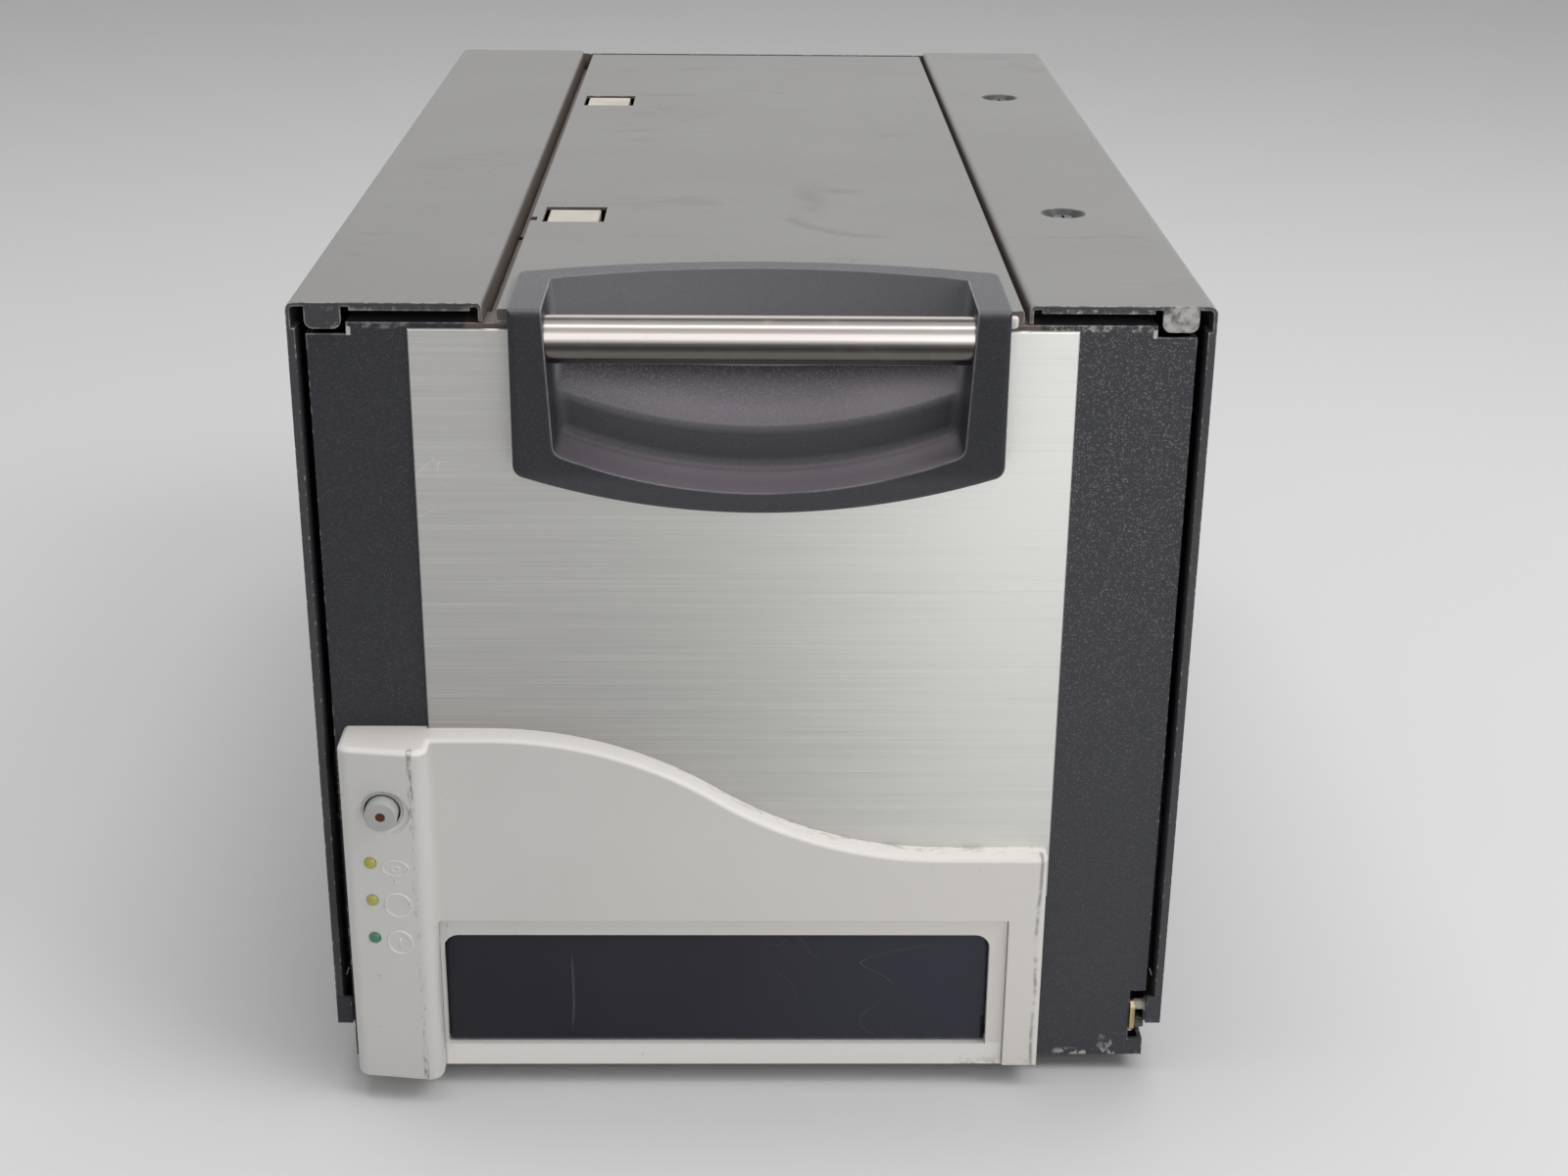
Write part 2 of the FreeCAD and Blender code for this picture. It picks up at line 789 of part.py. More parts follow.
def rear_panel():
    """Rear sheet with the fan's grille slots and the cut-outs for inlet, switch and ports."""
    y0, y1 = pan_rear - past, rear_y + past
    plate = box(-cover_inner, cover_inner, pan_rear, rear_y, foot_height, cover_under)
    cuts = [prism_y(around(inlet_x, inlet_z, inlet_width, inlet_height), y0, y1),
            prism_y(around(switch_x, switch_z, switch_width, switch_height), y0, y1),
            prism_y(around(usb_x, port_z, usb_width, usb_height), y0, y1),
            prism_y(around(data_x, port_z, data_width, data_height), y0, y1)]
    cuts += [rod_y(y0, y1, x, z, screw_radius) for x, z in rear_screw_places()]
    for i in range(grille_rows):
        rise = grille_pitch * (i - (grille_rows - 1) / 2)
        width = 2 * (sqrt(fan_bore_radius ** 2 - rise ** 2) - grille_half)
        cuts.append(prism_y(around(fan_x, fan_z + rise, width, 2 * grille_half, grille_half - 0.1), y0, y1))
    for i in range(vent_rows):
        z = fan_z + grille_pitch * (i - (vent_rows - 1) / 2)
        cuts.append(prism_y(corners_of(vent_left, vent_right, z - vent_half, z + vent_half, vent_half - 0.1),
                            y0, y1))
    return cut(plate, *cuts)


def power_supply():
    """Cased supply on the pan's floor, slotted on top and recessed round the inlet and the switch."""
    y0 = standoff_y - supply_depth
    top = floor_top + supply_height
    case = box(supply_left, supply_left + supply_width, y0, standoff_y, floor_top, top)
    place, width, pitch = supply_slot
    starts = [supply_left + place + pitch * i for i in range(supply_slots)]
    cuts = [box(x, x + width, y0 + supply_slot_end, standoff_y - supply_slot_end,
                top - supply_slot_depth, top) for x in starts]
    cuts.append(box(inlet_x - inlet_width, inlet_x + inlet_width, standoff_y - electrics_room, standoff_y,
                    inlet_z - electrics_room_edge, switch_z + electrics_room_edge))
    return cut(case, *cuts)


def power_inlet():
    """Three-pin appliance inlet: a flanged body whose socket is open to the rear."""
    flange = prism_y(around(inlet_x, inlet_z, inlet_width + 2 * inlet_flange,
                            inlet_height + 2 * inlet_flange_rise, inlet_flange_rise),
                     rear_y, rear_y + inlet_flange_sheet)
    body = prism_y(around(inlet_x, inlet_z, inlet_width - 2 * fit_gap, inlet_height - 2 * fit_gap),
                   rear_y - inlet_depth, rear_y)
    w, h = inlet_width / 2 - inlet_wall, inlet_height / 2 - inlet_wall
    left, right, low, high = inlet_x - w, inlet_x + w, inlet_z - h, inlet_z + h
    key_z = inlet_z + inlet_key_z
    socket = prism_y([(left, low, 1), (right, low, 1), (right, key_z, 1), (right - inlet_key, high, 1),
                      (left + inlet_key, high, 1), (left, key_z, 1)],
                     rear_y - inlet_socket_depth, rear_y + inlet_flange_sheet)
    pins = [prism_y(around(inlet_x + dx, inlet_z + dz, *inlet_pin),
                    rear_y - inlet_socket_depth - past, rear_y - inlet_pin_tip) for dx, dz in inlet_pins_at]
    return fuse(cut(fuse(flange, body), socket), *pins)


def switch_body():
    flange = prism_y(around(switch_x, switch_z, switch_width + 2 * switch_flange,
                            switch_height + 2 * switch_flange, switch_flange),
                     rear_y, rear_y + switch_flange_sheet)
    body = prism_y(around(switch_x, switch_z, switch_width - 2 * fit_gap, switch_height - 2 * fit_gap),
                   rear_y - switch_depth, rear_y)
    well = prism_y(around(switch_x, switch_z, switch_width - 2 * switch_wall,
                          switch_height - 2 * switch_wall),
                   rear_y - switch_well_depth, rear_y + switch_flange_sheet)
    return cut(fuse(flange, body), well)


def power_rocker():
    """Rocker with a shallow V face, on a pin along Z through the middle of the switch."""
    w = switch_width / 2 - switch_wall - rocker_gap
    h = switch_height / 2 - switch_wall - rocker_gap
    y = rear_y - rocker_pin_depth
    tip, heel = rocker_rounds
    profile = [(switch_x - w, y + rocker_tip, tip), (switch_x, y + rocker_middle),
               (switch_x + w, y + rocker_tip, tip), (switch_x + w - rocker_taper, y - rocker_back, heel),
               (switch_x, y - rocker_belly), (switch_x - w + rocker_taper, y - rocker_back, heel)]
    return prism_z(profile, switch_z - h, switch_z + h)


def fan_frame():
    """Square frame round the bore, with a hub, four struts and the rotor's spindle."""
    frame = prism_y(around(fan_x, fan_z, fan_side, fan_side, fan_corner), fan_front, fan_back)
    frame = cut(frame, rod_y(fan_front, fan_back, fan_x, fan_z, fan_bore_radius))
    hub = rod_y(fan_front, fan_front + fan_hub_sheet, fan_x, fan_z, fan_hub_radius)
    depth, half = fan_strut
    reach = fan_bore_radius + past
    struts = [box(fan_x - reach, fan_x + reach, fan_front, fan_front + depth, fan_z - half, fan_z + half),
              box(fan_x - half, fan_x + half, fan_front, fan_front + depth, fan_z - reach, fan_z + reach)]
    spindle_length, spindle_radius = fan_spindle
    spindle = rod_y(fan_front + fan_hub_sheet, fan_front + spindle_length, fan_x, fan_z, spindle_radius)
    place, radius = fan_hole
    holes = [rod_y(fan_front, fan_back, fan_x + sx * place, fan_z + sz * place, radius)
             for sx, sz in ((-1, -1), (-1, 1), (1, -1), (1, 1))]
    return cut(fuse(frame, hub, *struts, spindle), *holes)


def fan_rotor():
    """Hub on the frame's spindle with twisted flat blades."""
    spindle_length, spindle_radius = fan_spindle
    hub_front, hub_back = fan_front + fan_hub_sheet + rotor_gap, fan_back - rotor_recess
    bore = rod_y(hub_front, fan_front + spindle_length + rotor_gap, fan_x, fan_z,
                 spindle_radius + shaft_clearance)
    hub = cut(rod_y(hub_front, hub_back, fan_x, fan_z, fan_hub_radius), bore)
    root = fan_hub_radius - past
    blades = []
    for i in range(fan_blades):
        blade = Part.makeBox(fan_bore_radius - fan_tip_gap - root, blade_sheet, blade_chord,
                             V(fan_x + root, -blade_sheet / 2, fan_z - blade_chord / 2))
        blade.rotate(V(fan_x, 0, fan_z), V(1, 0, 0), blade_pitch)
        blade.translate(V(0, (hub_front + hub_back) / 2, 0))
        blade.rotate(V(fan_x, 0, fan_z), V(0, 1, 0), 360.0 / fan_blades * i)
        blades.append(blade)
    return fuse(hub, *blades)


def control_board():
    """Upright board on pressed standoffs, with two packages and a row of capacitors."""
    face = standoff_y - board_sheet
    right, top = board_left + board_width, board_bottom + board_height
    parts = []
    for from_left, from_bottom, width, height, rise in (processor, memory):
        x, z = board_left + from_left, board_bottom + from_bottom
        parts.append(box(x, x + width, face - rise, face, z, z + height))
    from_left, from_bottom, across, up, radius, height = capacitor
    for i in range(capacitors):
        x, z = board_left + from_left + across * (i % 2), board_bottom + from_bottom + up * i
        parts.append(rod_y(face - height, face, x, z, radius))
    for x in (board_left + board_standoff_inset, right - board_standoff_inset):
        for z in (board_bottom + board_standoff_inset, top - board_standoff_inset):
            parts.append(rod_y(standoff_y, pan_rear, x, z, board_standoff_radius))
    return fuse(box(board_left, right, face, standoff_y, board_bottom, top), *parts)


def port_shell(x, width, height):
    """Tubular shell from the board through its cut-out in the rear panel, open to the rear."""
    w, h = width - 2 * port_fit, height - 2 * port_fit
    shell = prism_y(around(x, port_z, w, h), standoff_y, rear_y + port_ahead)
    return cut(shell, prism_y(around(x, port_z, w - 2 * port_wall, h - 2 * port_wall),
                              standoff_y + port_floor, rear_y + past))


def data_ports():
    """USB socket, and a wide parallel socket with a contact tongue."""
    tongue = prism_y(around(data_x, port_z, data_width - 2 * tongue_inset, 2 * tongue_half),
                     standoff_y + past, rear_y - past)
    return Part.makeCompound([port_shell(usb_x, usb_width, usb_height),
                              fuse(port_shell(data_x, data_width, data_height), tongue)])


# ---- telescopic rails: C sections nested with a running gap ----
def channel(left, right, half_height, opening):
    """C section from left to right; it is open on the side that the opening's sign gives."""
    y0, y1 = pan_front, pan_front + rail_length
    outer = box(left, right, y0, y1, rail_centre_z - half_height, rail_centre_z + half_height)
    inner_left = left - past if opening < 0 else left + rail_sheet
    inner_right = right - rail_sheet if opening < 0 else right + past
    inner_half = half_height - rail_sheet
    return cut(outer, box(inner_left, inner_right, y0, y1, rail_centre_z - inner_half,
                          rail_centre_z + inner_half))


def right_outer_rail():
    return channel(side_plate_face + outer_rail_mouth, pan_inner, rail_half_height, -1)


def right_mid_rail():
    step = rail_sheet + rail_gap
    return channel(side_plate_face + mid_rail_mouth, pan_inner - step, rail_half_height - step, -1)


def right_inner_rail():
    steps = 2 * (rail_sheet + rail_gap)
    return channel(side_plate_face, pan_inner - steps, rail_half_height - steps, 1)


def left_outer_rail():
    return mirrored(right_outer_rail())


def left_mid_rail():
    return mirrored(right_mid_rail())


def left_inner_rail():
    return mirrored(right_inner_rail())


# ---- printing unit: handle ----
def handle_outline(inset, lip, taper, row):
    """Front outline of the handle bezel in (x, z): two sides and a shallow arc across the bottom."""
    half = bezel_half_width - inset
    left, right = bezel_centre_x - half + taper, bezel_centre_x + half - taper
    corner, middle = bezel_side_bottom + lip, bezel_arc_bottom + lip
    top = bezel_top + scoop_above
    place = across_y(behind_face(row))
    edges = [Part.makeLine(place(bezel_centre_x - half, top), place(left, corner)),
             Part.Arc(place(left, corner), place(bezel_centre_x, middle), place(right, corner)).toShape(),
             Part.makeLine(place(right, corner), place(bezel_centre_x + half, top)),
             Part.makeLine(place(bezel_centre_x + half, top), place(bezel_centre_x - half, top))]
    return Part.Face(Part.Wire(edges))


def handle_prism(inset, lip, row0, row1, taper=0.0):
    """The front outline run from row0 to row1, its lower corners rounded."""
    solid = handle_outline(inset, lip, taper, row0).extrude(V(0, row1 - row0, 0))
    middle_y, corner_z = behind_face((row0 + row1) / 2), bezel_side_bottom + lip
    solid = rounded(solid, bezel_corner, lambda m: abs(m.y - middle_y) < near and abs(m.z - corner_z) < near)
    return solid.common(box(-half_width, half_width, behind_face(row0), behind_face(row1), 0,
                            bezel_top + scoop_above))


def rim_plan(inset, z0, z1):
    """Plan of the bezel's top rim: straight sides and an arc along the rear."""
    half = bezel_half_width - inset
    left, right = bezel_centre_x - half, bezel_centre_x + half
    front = behind_face(-bezel_proud - scoop_ahead)
    corner, middle = behind_face(bezel_rear_corner - inset), behind_face(bezel_rear_middle - inset)
    place = across_z(z0)
    edges = [Part.makeLine(place(left, front), place(left, corner)),
             Part.Arc(place(left, corner), place(bezel_centre_x, middle), place(right, corner)).toShape(),
             Part.makeLine(place(right, corner), place(right, front)),
             Part.makeLine(place(right, front), place(left, front))]
    solid = Part.Face(Part.Wire(edges)).extrude(V(0, 0, z1 - z0))
    middle_z = (z0 + z1) / 2
    return rounded(solid, bezel_corner, lambda m: abs(m.y - corner) < near and abs(m.z - middle_z) < near)


def scoop_block(grow):
    """What fills the recess under its shelf; its front is the step, and its top follows the arc."""
    front, length = behind_face(scoop_step_row + grow), bezel_rear_middle
    low = bezel_arc_bottom + bezel_lip + scoop_step - grow
    high, base = low + scoop_block_sag, bezel_arc_bottom - length
    left, right = bezel_centre_x - bezel_half_width, bezel_centre_x + bezel_half_width
    place = across_y(front)
    edges = [Part.Arc(place(left, high), place(bezel_centre_x, low), place(right, high)).toShape(),
             Part.makeLine(place(right, high), place(right, base)),
             Part.makeLine(place(right, base), place(left, base)),
             Part.makeLine(place(left, base), place(left, high))]
    block = Part.Face(Part.Wire(edges)).extrude(V(0, length, length * scoop_shelf_slope))
    return rounded(block, scoop_shelf_round, lambda m: at_y(front)(m) and m.z > low)


def scoop(grow):
    """Space for the hand: a floor behind the rim, a step, and a shelf that rises to the back wall."""
    space = handle_prism(bezel_arm - grow, bezel_lip - grow, -bezel_proud - scoop_ahead, bezel_rear_middle,
                         scoop_taper)
    space = cut(space, scoop_block(grow))
    step_y, step_z = behind_face(scoop_step_row + grow), bezel_arc_bottom + bezel_lip + scoop_step / 2
    space = rounded(space, scoop_foot_round, lambda m: at_y(step_y)(m) and m.z < step_z
                    and abs(m.x - bezel_centre_x) < near)
    return space.common(rim_plan(bezel_rim - grow, bezel_arc_bottom - scoop_above, bezel_top + scoop_above))


def handle_bar():
    return rod_x(bezel_centre_x - bar_half_length, bezel_centre_x + bar_half_length,
                 behind_face(-bar_ahead), bar_z, bar_radius)


def handle_bezel():
    """Moulded frame over the unit's top front edge, with the finger scoop behind the bar."""
    front = behind_face(-bezel_proud)
    rim = handle_prism(0, 0, -bezel_proud, 0)
    rim = rim.common(box(-half_width, half_width, front, face_y, 0, bezel_top))
    rim = rounded(rim, bezel_front_round, at_y(front))
    top = rim_plan(0, top_z, bezel_top).common(box(-half_width, half_width, face_y - past / 2, half_depth,
                                                   0, bezel_top))
    shell = scoop(bezel_wall).common(box(-half_width, half_width, front + bezel_wall + past / 2, half_depth,
                                         0, bezel_top))
    return cut(fuse(rim, top, shell), scoop(0), handle_bar())


# ---- printing unit: sheet metal ----
def door_passage(row0, row1):
    """Passage for the door and the tray through the front sheets."""
    return box(door_left - opening_margin, door_right + opening_margin, behind_face(row0), behind_face(row1),
               hinge_z - sill_below_pin - past, door_top + opening_over_door)


def front_panel():
    """Painted sheet with returned edges, notched for the covers' tabs and the latch."""
    back, rear, right = face_y + panel_sheet, behind_face(panel_return), panel_half_width
    sheet = box(-right, right, face_y, back, panel_bottom, panel_top)
    side = box(right - panel_sheet, right, back, rear, panel_bottom, panel_top)
    top = box(-right, right, back, rear, panel_top - panel_sheet, panel_top)
    bottom = box(-right, right, back, rear, panel_bottom, panel_bottom + panel_sheet)
    notch = box(right - corner_notch_width, right + past, face_y - past, rear + past,
                panel_top - corner_notch_depth, panel_top + past)
    latch = box(right - latch_notch_width, right + past, face_y - past, rear + past,
                latch_notch_bottom, latch_notch_top)
    scoop_hole = handle_prism(rim_overlap, rim_overlap - past, -past, panel_return + past)
    return cut(fuse(sheet, side, mirrored(side), top, bottom), notch, mirrored(notch), latch, scoop_hole,
               door_passage(-past, panel_sheet + past))


def aluminium_fascia():
    """Brushed plate on the panel's face, open round the handle bezel."""
    front = face_y - fascia_sheet
    plate = box(fascia_left, fascia_right, front, face_y, fascia_bottom, fascia_top)
    plate = plate.makeChamfer(fascia_chamfer, [e for e in plate.Edges if at_y(front)(e.CenterOfMass)])
    return cut(plate, handle_prism(-clearance, -clearance, -fascia_sheet - past, past))


def brace_places():
    return [behind_face(row) for row in brace_rows]


def top_panel():
    """Centre top sheet with turned-down sides, a ledge along its left side and two tab windows."""
    y0, y1 = cover_front, pan_rear - top_rear_gap
    flange_y = behind_face(panel_return + top_flange_gap)
    under, ledge_z = top_z - top_sheet, top_z - ledge_drop
    sheet = box(top_left, top_right, y0, y1, under, top_z)
    middle_y = (y0 + y1) / 2
    sheet = rounded(sheet, top_sheet * 0.8, lambda m: abs(m.y - middle_y) < near and m.z > top_z - near)
    left = box(top_left, top_left + top_sheet, flange_y, y1, brace_top, under)
    right = box(top_right - top_sheet, top_right, flange_y, y1, brace_top, under)
    ledge = box(left_cover_edge + clearance, top_left, flange_y, y1, ledge_z - top_sheet, ledge_z)
    front_lip = box(top_left, top_right, y0, y0 + top_sheet, panel_top + past, under)
    hook_y = brace_places()[0] - hook_ahead
    hook_notch = box(left_cover_edge, top_left + hook_depth, hook_y, hook_y + hook_width,
                     ledge_z - 2 * top_sheet, top_z + past)
    bezel_reach = bezel_half_width + clearance
    bezel_gap = box(bezel_centre_x - bezel_reach, bezel_centre_x + bezel_reach, y0 - past,
                    face_y + clearance, panel_top, top_z + past)
    windows = [prism_z(around(window_left + window_width / 2, y, window_width, window_length),
                       under - past, top_z + past) for y in brace_places()]
    return cut(fuse(sheet, left, right, ledge, front_lip), rim_plan(rim_overlap, ledge_z, top_z + past),
               bezel_gap, hook_notch, *windows)


def cross_braces():
    """Inverted channels that tie the side plates' tops and carry the top panel."""
    low, high = brace_top - brace_height, brace_top
    braces = []
    for y in brace_places():
        y0, y1 = y - brace_width / 2, y + brace_width / 2
        hollow = box(-side_plate_face, side_plate_face, y0 + plate_sheet, y1 - plate_sheet,
                     low, high - plate_sheet)
        braces.append(cut(box(-side_plate_face, side_plate_face, y0, y1, low, high), hollow))
    return Part.makeCompound(braces)


def window_tabs():
    """Moulded latch tabs that show through the top panel's windows."""
    x, top = window_left + window_width / 2 - window_tab_left, top_z - window_tab_below
    tabs = []
    for y in brace_places():
        tab = prism_z(around(x, y - window_tab_ahead, window_tab_width, window_tab_length), brace_top, top)
        tabs.append(rounded(tab, window_tab_round, lambda m: m.z > top - near))
    return Part.makeCompound(tabs)


def shafts():
    """Places of the six turning shafts that run in bushes."""
    return (film_supply_at, film_takeup_at, ribbon_supply_at, ribbon_takeup_at, transfer_at, platen_at)


def across_plates(place, radius):
    """A rod from plate to plate at a (row, height) place."""
    return rod_x(-side_plate_face, side_plate_face, behind_face(place[0]), place[1], radius)


def side_plate():
    """Right-hand plate of the printing unit, bored for the shafts' bushes and the rods."""
    y0 = face_y + panel_sheet
    y1 = y0 + plate_length
    plate = prism_x([(y0, plate_bottom), (y1, plate_bottom, plate_low_corner),
                     (y1, plate_top, plate_high_corner), (y0, plate_top)], plate_inner, side_plate_face)
    holes = [across_plates(place, bush_radius) for place in shafts()]
    holes += [across_plates(place, tie_rod_radius) for place in tie_rods_at]
    holes += [across_plates(place, guide_bar_radius) for place in guide_bars_at]
    holes.append(across_plates(head_pivot_at, shaft_radius))
    relief = box(0, half_width, y0 - past, behind_face(panel_return + past), plate_top - bezel_relief,
                 plate_top + past)
    return cut(plate, *holes, relief)


def right_side_plate():
    """The right plate also carries the latch's pivot pin."""
    pin = rod_x(plate_inner, latch_x + latch_sheet + latch_pin_reach, behind_face(latch_pivot_row),
                latch_pivot_z, latch_pin_radius)
    return fuse(side_plate(), pin)


def left_side_plate():
    return mirrored(side_plate())


def tie_rods():
    """Spacer rods, two thin guide bars and the print head's pivot rod, plate to plate."""
    rods = [across_plates(place, tie_rod_radius) for place in tie_rods_at]
    rods += [across_plates(place, guide_bar_radius) for place in guide_bars_at]
    return Part.makeCompound(rods + [across_plates(head_pivot_at, shaft_radius)])


def shaft_bushes():
    """Flanged plain bearings, one at each end of each turning shaft."""
    bushes = []
    flange_x = side_plate_face - bush_length
    for row, z in shafts():
        y = behind_face(row)
        bush = fuse(rod_x(flange_x, side_plate_face, y, z, bush_radius),
                    rod_x(flange_x, plate_inner, y, z, bush_flange_radius))
        bush = cut(bush, rod_x(0, half_width, y, z, shaft_radius + shaft_clearance))
        bushes += [bush, mirrored(bush)]
    return Part.makeCompound(bushes)


# ---- printing unit: mouldings at the front ----
def wave_outline():
    """Lower bezel's outline in (x, z): flat foot, square right side and a wave along the top."""
    place = across_y(bezel_face_y)
    left = column_right - column_corner - past
    run = wave_end_x - wave_start_x
    radii = (run ** 2 + wave_drop ** 2) / (2 * wave_drop)
    crest, trough = wave_crest_share * radii, (1 - wave_crest_share) * radii
    turn = asin(run / radii)
    low = column_top - wave_drop

    def on_crest(angle):
        return place(wave_start_x + crest * sin(angle), column_top - crest * (1 - cos(angle)))

    def on_trough(angle):
        return place(wave_end_x - trough * sin(angle), low + trough * (1 - cos(angle)))

    foot_left, foot_right = place(left, lower_bottom), place(lower_right, lower_bottom)
    top_left_end, top_right_end = place(left, column_top), place(lower_right, low)
    edges = [Part.makeLine(foot_left, foot_right), Part.makeLine(foot_right, top_right_end),
             Part.makeLine(top_right_end, on_trough(0)),
             Part.Arc(on_trough(0), on_trough(turn / 2), on_trough(turn)).toShape(),
             Part.Arc(on_crest(turn), on_crest(turn / 2), on_crest(0)).toShape(),
             Part.makeLine(on_crest(0), top_left_end), Part.makeLine(top_left_end, foot_left)]
    return Part.Face(Part.Wire(edges))


def column_face(x):
    """Where the column's front lies at this x; it falls back towards the left."""
    return column_y + column_fall * (column_right - x) / column_width


def button_column():
    """Upright column of the lower bezel, rounded on its corners and ends."""
    column = prism_z([(column_left, face_y), (column_left, column_face(column_left), column_corner),
                      (column_right, column_y, column_corner), (column_right, face_y)],
                     column_bottom, column_top)
    return rounded(column, column_end_round, lambda m: m.y < face_y - near and (
        abs(m.z - column_top) < near or abs(m.z - column_bottom) < near))


def lower_bezel():
    """One moulding: the wave-topped face, the button column and the mouth for the tray frame."""
    outline = wave_outline()
    body = rounded(outline.extrude(V(0, bezel_face_proud, 0)), lower_edge_round, at_y(bezel_face_y))
    pocket = outline.makeOffset2D(-lower_wall).extrude(V(0, bezel_face_proud, 0))
    pocket.translate(V(0, lower_wall, 0))
    hollow = box(column_left + lower_wall, column_right - lower_wall, column_inner_y, face_y + past,
                 column_bottom + lower_wall, column_top - lower_wall)
    body = fuse(cut(body, pocket), button_column())
    fascia_seat = box(fascia_left - clearance, lower_right + past, face_y - fascia_sheet, face_y + past,
                      fascia_bottom - clearance, column_top + past)
    mouth = box(mouth_left, mouth_right, bezel_face_y - past, face_y + past, lower_bottom - past, mouth_top)
    lintel_top = mouth_top + lower_wall
    jamb = box(column_right - column_corner - 2 * past, mouth_left, bezel_face_y + lower_wall, face_y,
               lower_bottom + lower_wall, lintel_top)
    ribs = [box(mouth_right, mouth_right + lower_wall, bezel_face_y + past, face_y,
                lower_bottom + past, lintel_top),
            box(mouth_left, mouth_right + lower_wall, bezel_face_y + past, face_y, mouth_top, lintel_top)]
    dish_radius = ring_radius + dish_margin
    dish_reach = column_face(button_x) + dish_depth - column_y
    holes = [Part.makeCone(dish_radius, dish_radius - dish_margin / 2, dish_reach,
                           V(button_x + dish_shift, column_y, button_z - dish_shift), V(0, 1, 0)),
             rod_y(column_y - past, face_y, button_x, button_z, ring_radius),
             rod_x(door_left - door_gap - hinge_pin_reach - past, mouth_left + past, hinge_y, hinge_z,
                   hinge_pin_radius + shaft_clearance)]
    holes += [rod_y(column_y - past, face_y, lens_x, z, lens_radius) for z in lens_rows]
    return cut(fuse(body, jamb, *ribs), hollow, fascia_seat, mouth, *holes)


def tray_frame():
    """Inner frame of the tray mouth; it holds the door's hinge bores and its sill."""
    y0 = bezel_face_y + frame_recess
    ring = box(mouth_left + frame_fit, mouth_right - frame_fit, y0, face_y, lower_bottom,
               mouth_top - frame_fit)
    left, right = door_left - door_gap, door_right + door_gap
    sill, lintel = hinge_z - sill_below_pin, door_top + door_top_gap
    aperture = prism_y([(left, sill), (right, sill), (right, lintel, door_corner),
                        (left, lintel, door_corner)], y0 - past, face_y + past)
    bore = rod_x(mouth_left - past, right + hinge_pin_reach + door_gap, hinge_y, hinge_z,
                 hinge_pin_radius + shaft_clearance)
    return cut(ring, aperture, bore)


def tray_door():
    """Flap with rounded top corners, hinged on two stub pins near its lower edge."""
    y0 = hinge_y - door_thickness / 2
    bottom = hinge_z - door_tail
    plate = prism_y([(door_left, bottom), (door_right, bottom), (door_right, door_top, door_corner),
                     (door_left, door_top, door_corner)], y0, y0 + door_thickness)
    plate = rounded(plate, door_edge_round, lambda m: at_y(y0)(m) and m.z > bottom + near)
    reach = door_gap + hinge_pin_reach
    return fuse(plate, rod_x(door_left - reach, door_left, hinge_y, hinge_z, hinge_pin_radius),
                rod_x(door_right, door_right + reach, hinge_y, hinge_z, hinge_pin_radius))


def button_ring():
    front = column_face(button_x)
    ring = rod_y(front, column_y + ring_depth, button_x, button_z, ring_radius)
    ring = rounded(ring, ring_round, at_y(front))
    flange_y = column_inner_y
    flange = rod_y(flange_y, flange_y + ring_flange_sheet, button_x, button_z, ring_radius + ring_flange)
    return cut(fuse(ring, flange), rod_y(front - past, column_y + ring_depth + past, button_x, button_z,
                                         button_radius + button_gap))


def operator_button():
    """Cap with a retaining flange behind the ring and a hole for its lens."""
    front = column_y - button_ahead
    flange_y = column_y + ring_depth + clearance
    back = flange_y + button_flange_sheet
    cap = rounded(rod_y(front, back, button_x, button_z, button_radius), button_round, at_y(front))
    flange = rod_y(flange_y, back, button_x, button_z, button_radius + button_flange)
    return cut(fuse(cap, flange), rod_y(front, front + button_lens_depth, button_x, button_z,
                                        button_lens_radius))


def button_lens():
    front = column_y - button_ahead
    return rod_y(front + button_lens_recess, front + button_lens_depth, button_x, button_z,
                 button_lens_radius)


def button_board():
    """Small board inside the column with the tactile switch, on spacers from the front panel."""
    left, right = column_left + lower_wall + board_side_gap, column_right - lower_wall - board_side_gap
    back, low = board_face + board_sheet, lens_rows[-1]
    board = box(left, right, board_face, back, low - board_margin, button_z + board_margin)
    switch = prism_y(around(button_x, button_z, 2 * switch_half, 2 * switch_half),
                     board_face - switch_rise, board_face)
    spacers = [rod_y(back, face_y, x, z, spacer_radius) for x in (left + spacer_inset, right - spacer_inset)
               for z in (low - spacer_reach, button_z + spacer_reach)]
    return fuse(board, switch, *spacers)


def lens(z):
    """Light pipe from the board to a domed end just ahead of the column."""
    front = column_face(lens_x) - lens_ahead
    return rounded(rod_y(front, board_face, lens_x, z, lens_radius), lens_round, at_y(front))


def status_lenses():
    return Part.makeCompound([lens(z) for z in lens_rows[:-1]])


def ready_lens():
    return lens(lens_rows[-1])


# ---- disc tray, guides and rack drive ----
def disc_tray():
    """Tray plate with the disc's recess, finger notches, a window behind it and the rack below."""
    left, right = tray_centre - tray_half_width, tray_centre + tray_half_width
    plate = prism_z([(left, tray_nose, tray_corner), (right, tray_nose, tray_corner), (right, tray_rear),
                     (left, tray_rear)], tray_bottom, tray_top)
    floor = tray_top - disc_recess_depth
    recess = rod_z(floor, tray_top, tray_centre, disc_y, disc_seat_radius)
    fingers = [rod_z(floor - finger_depth, tray_top, tray_centre + side * disc_seat_radius, disc_y,
                     finger_radius) for side in (-1, 1)]
    window = prism_z(corners_of(left + tray_window_side, pinion_x - pinion_width,
                                disc_y + disc_seat_radius + tray_window_gap, tray_rear - tray_window_rear,
                                tray_corner), tray_bottom, tray_top)
    hub_hole = rod_z(tray_bottom, tray_top, tray_centre, disc_y, hub_radius - hub_neck)
    return fuse(cut(plate, recess, window, hub_hole, *fingers), rack())


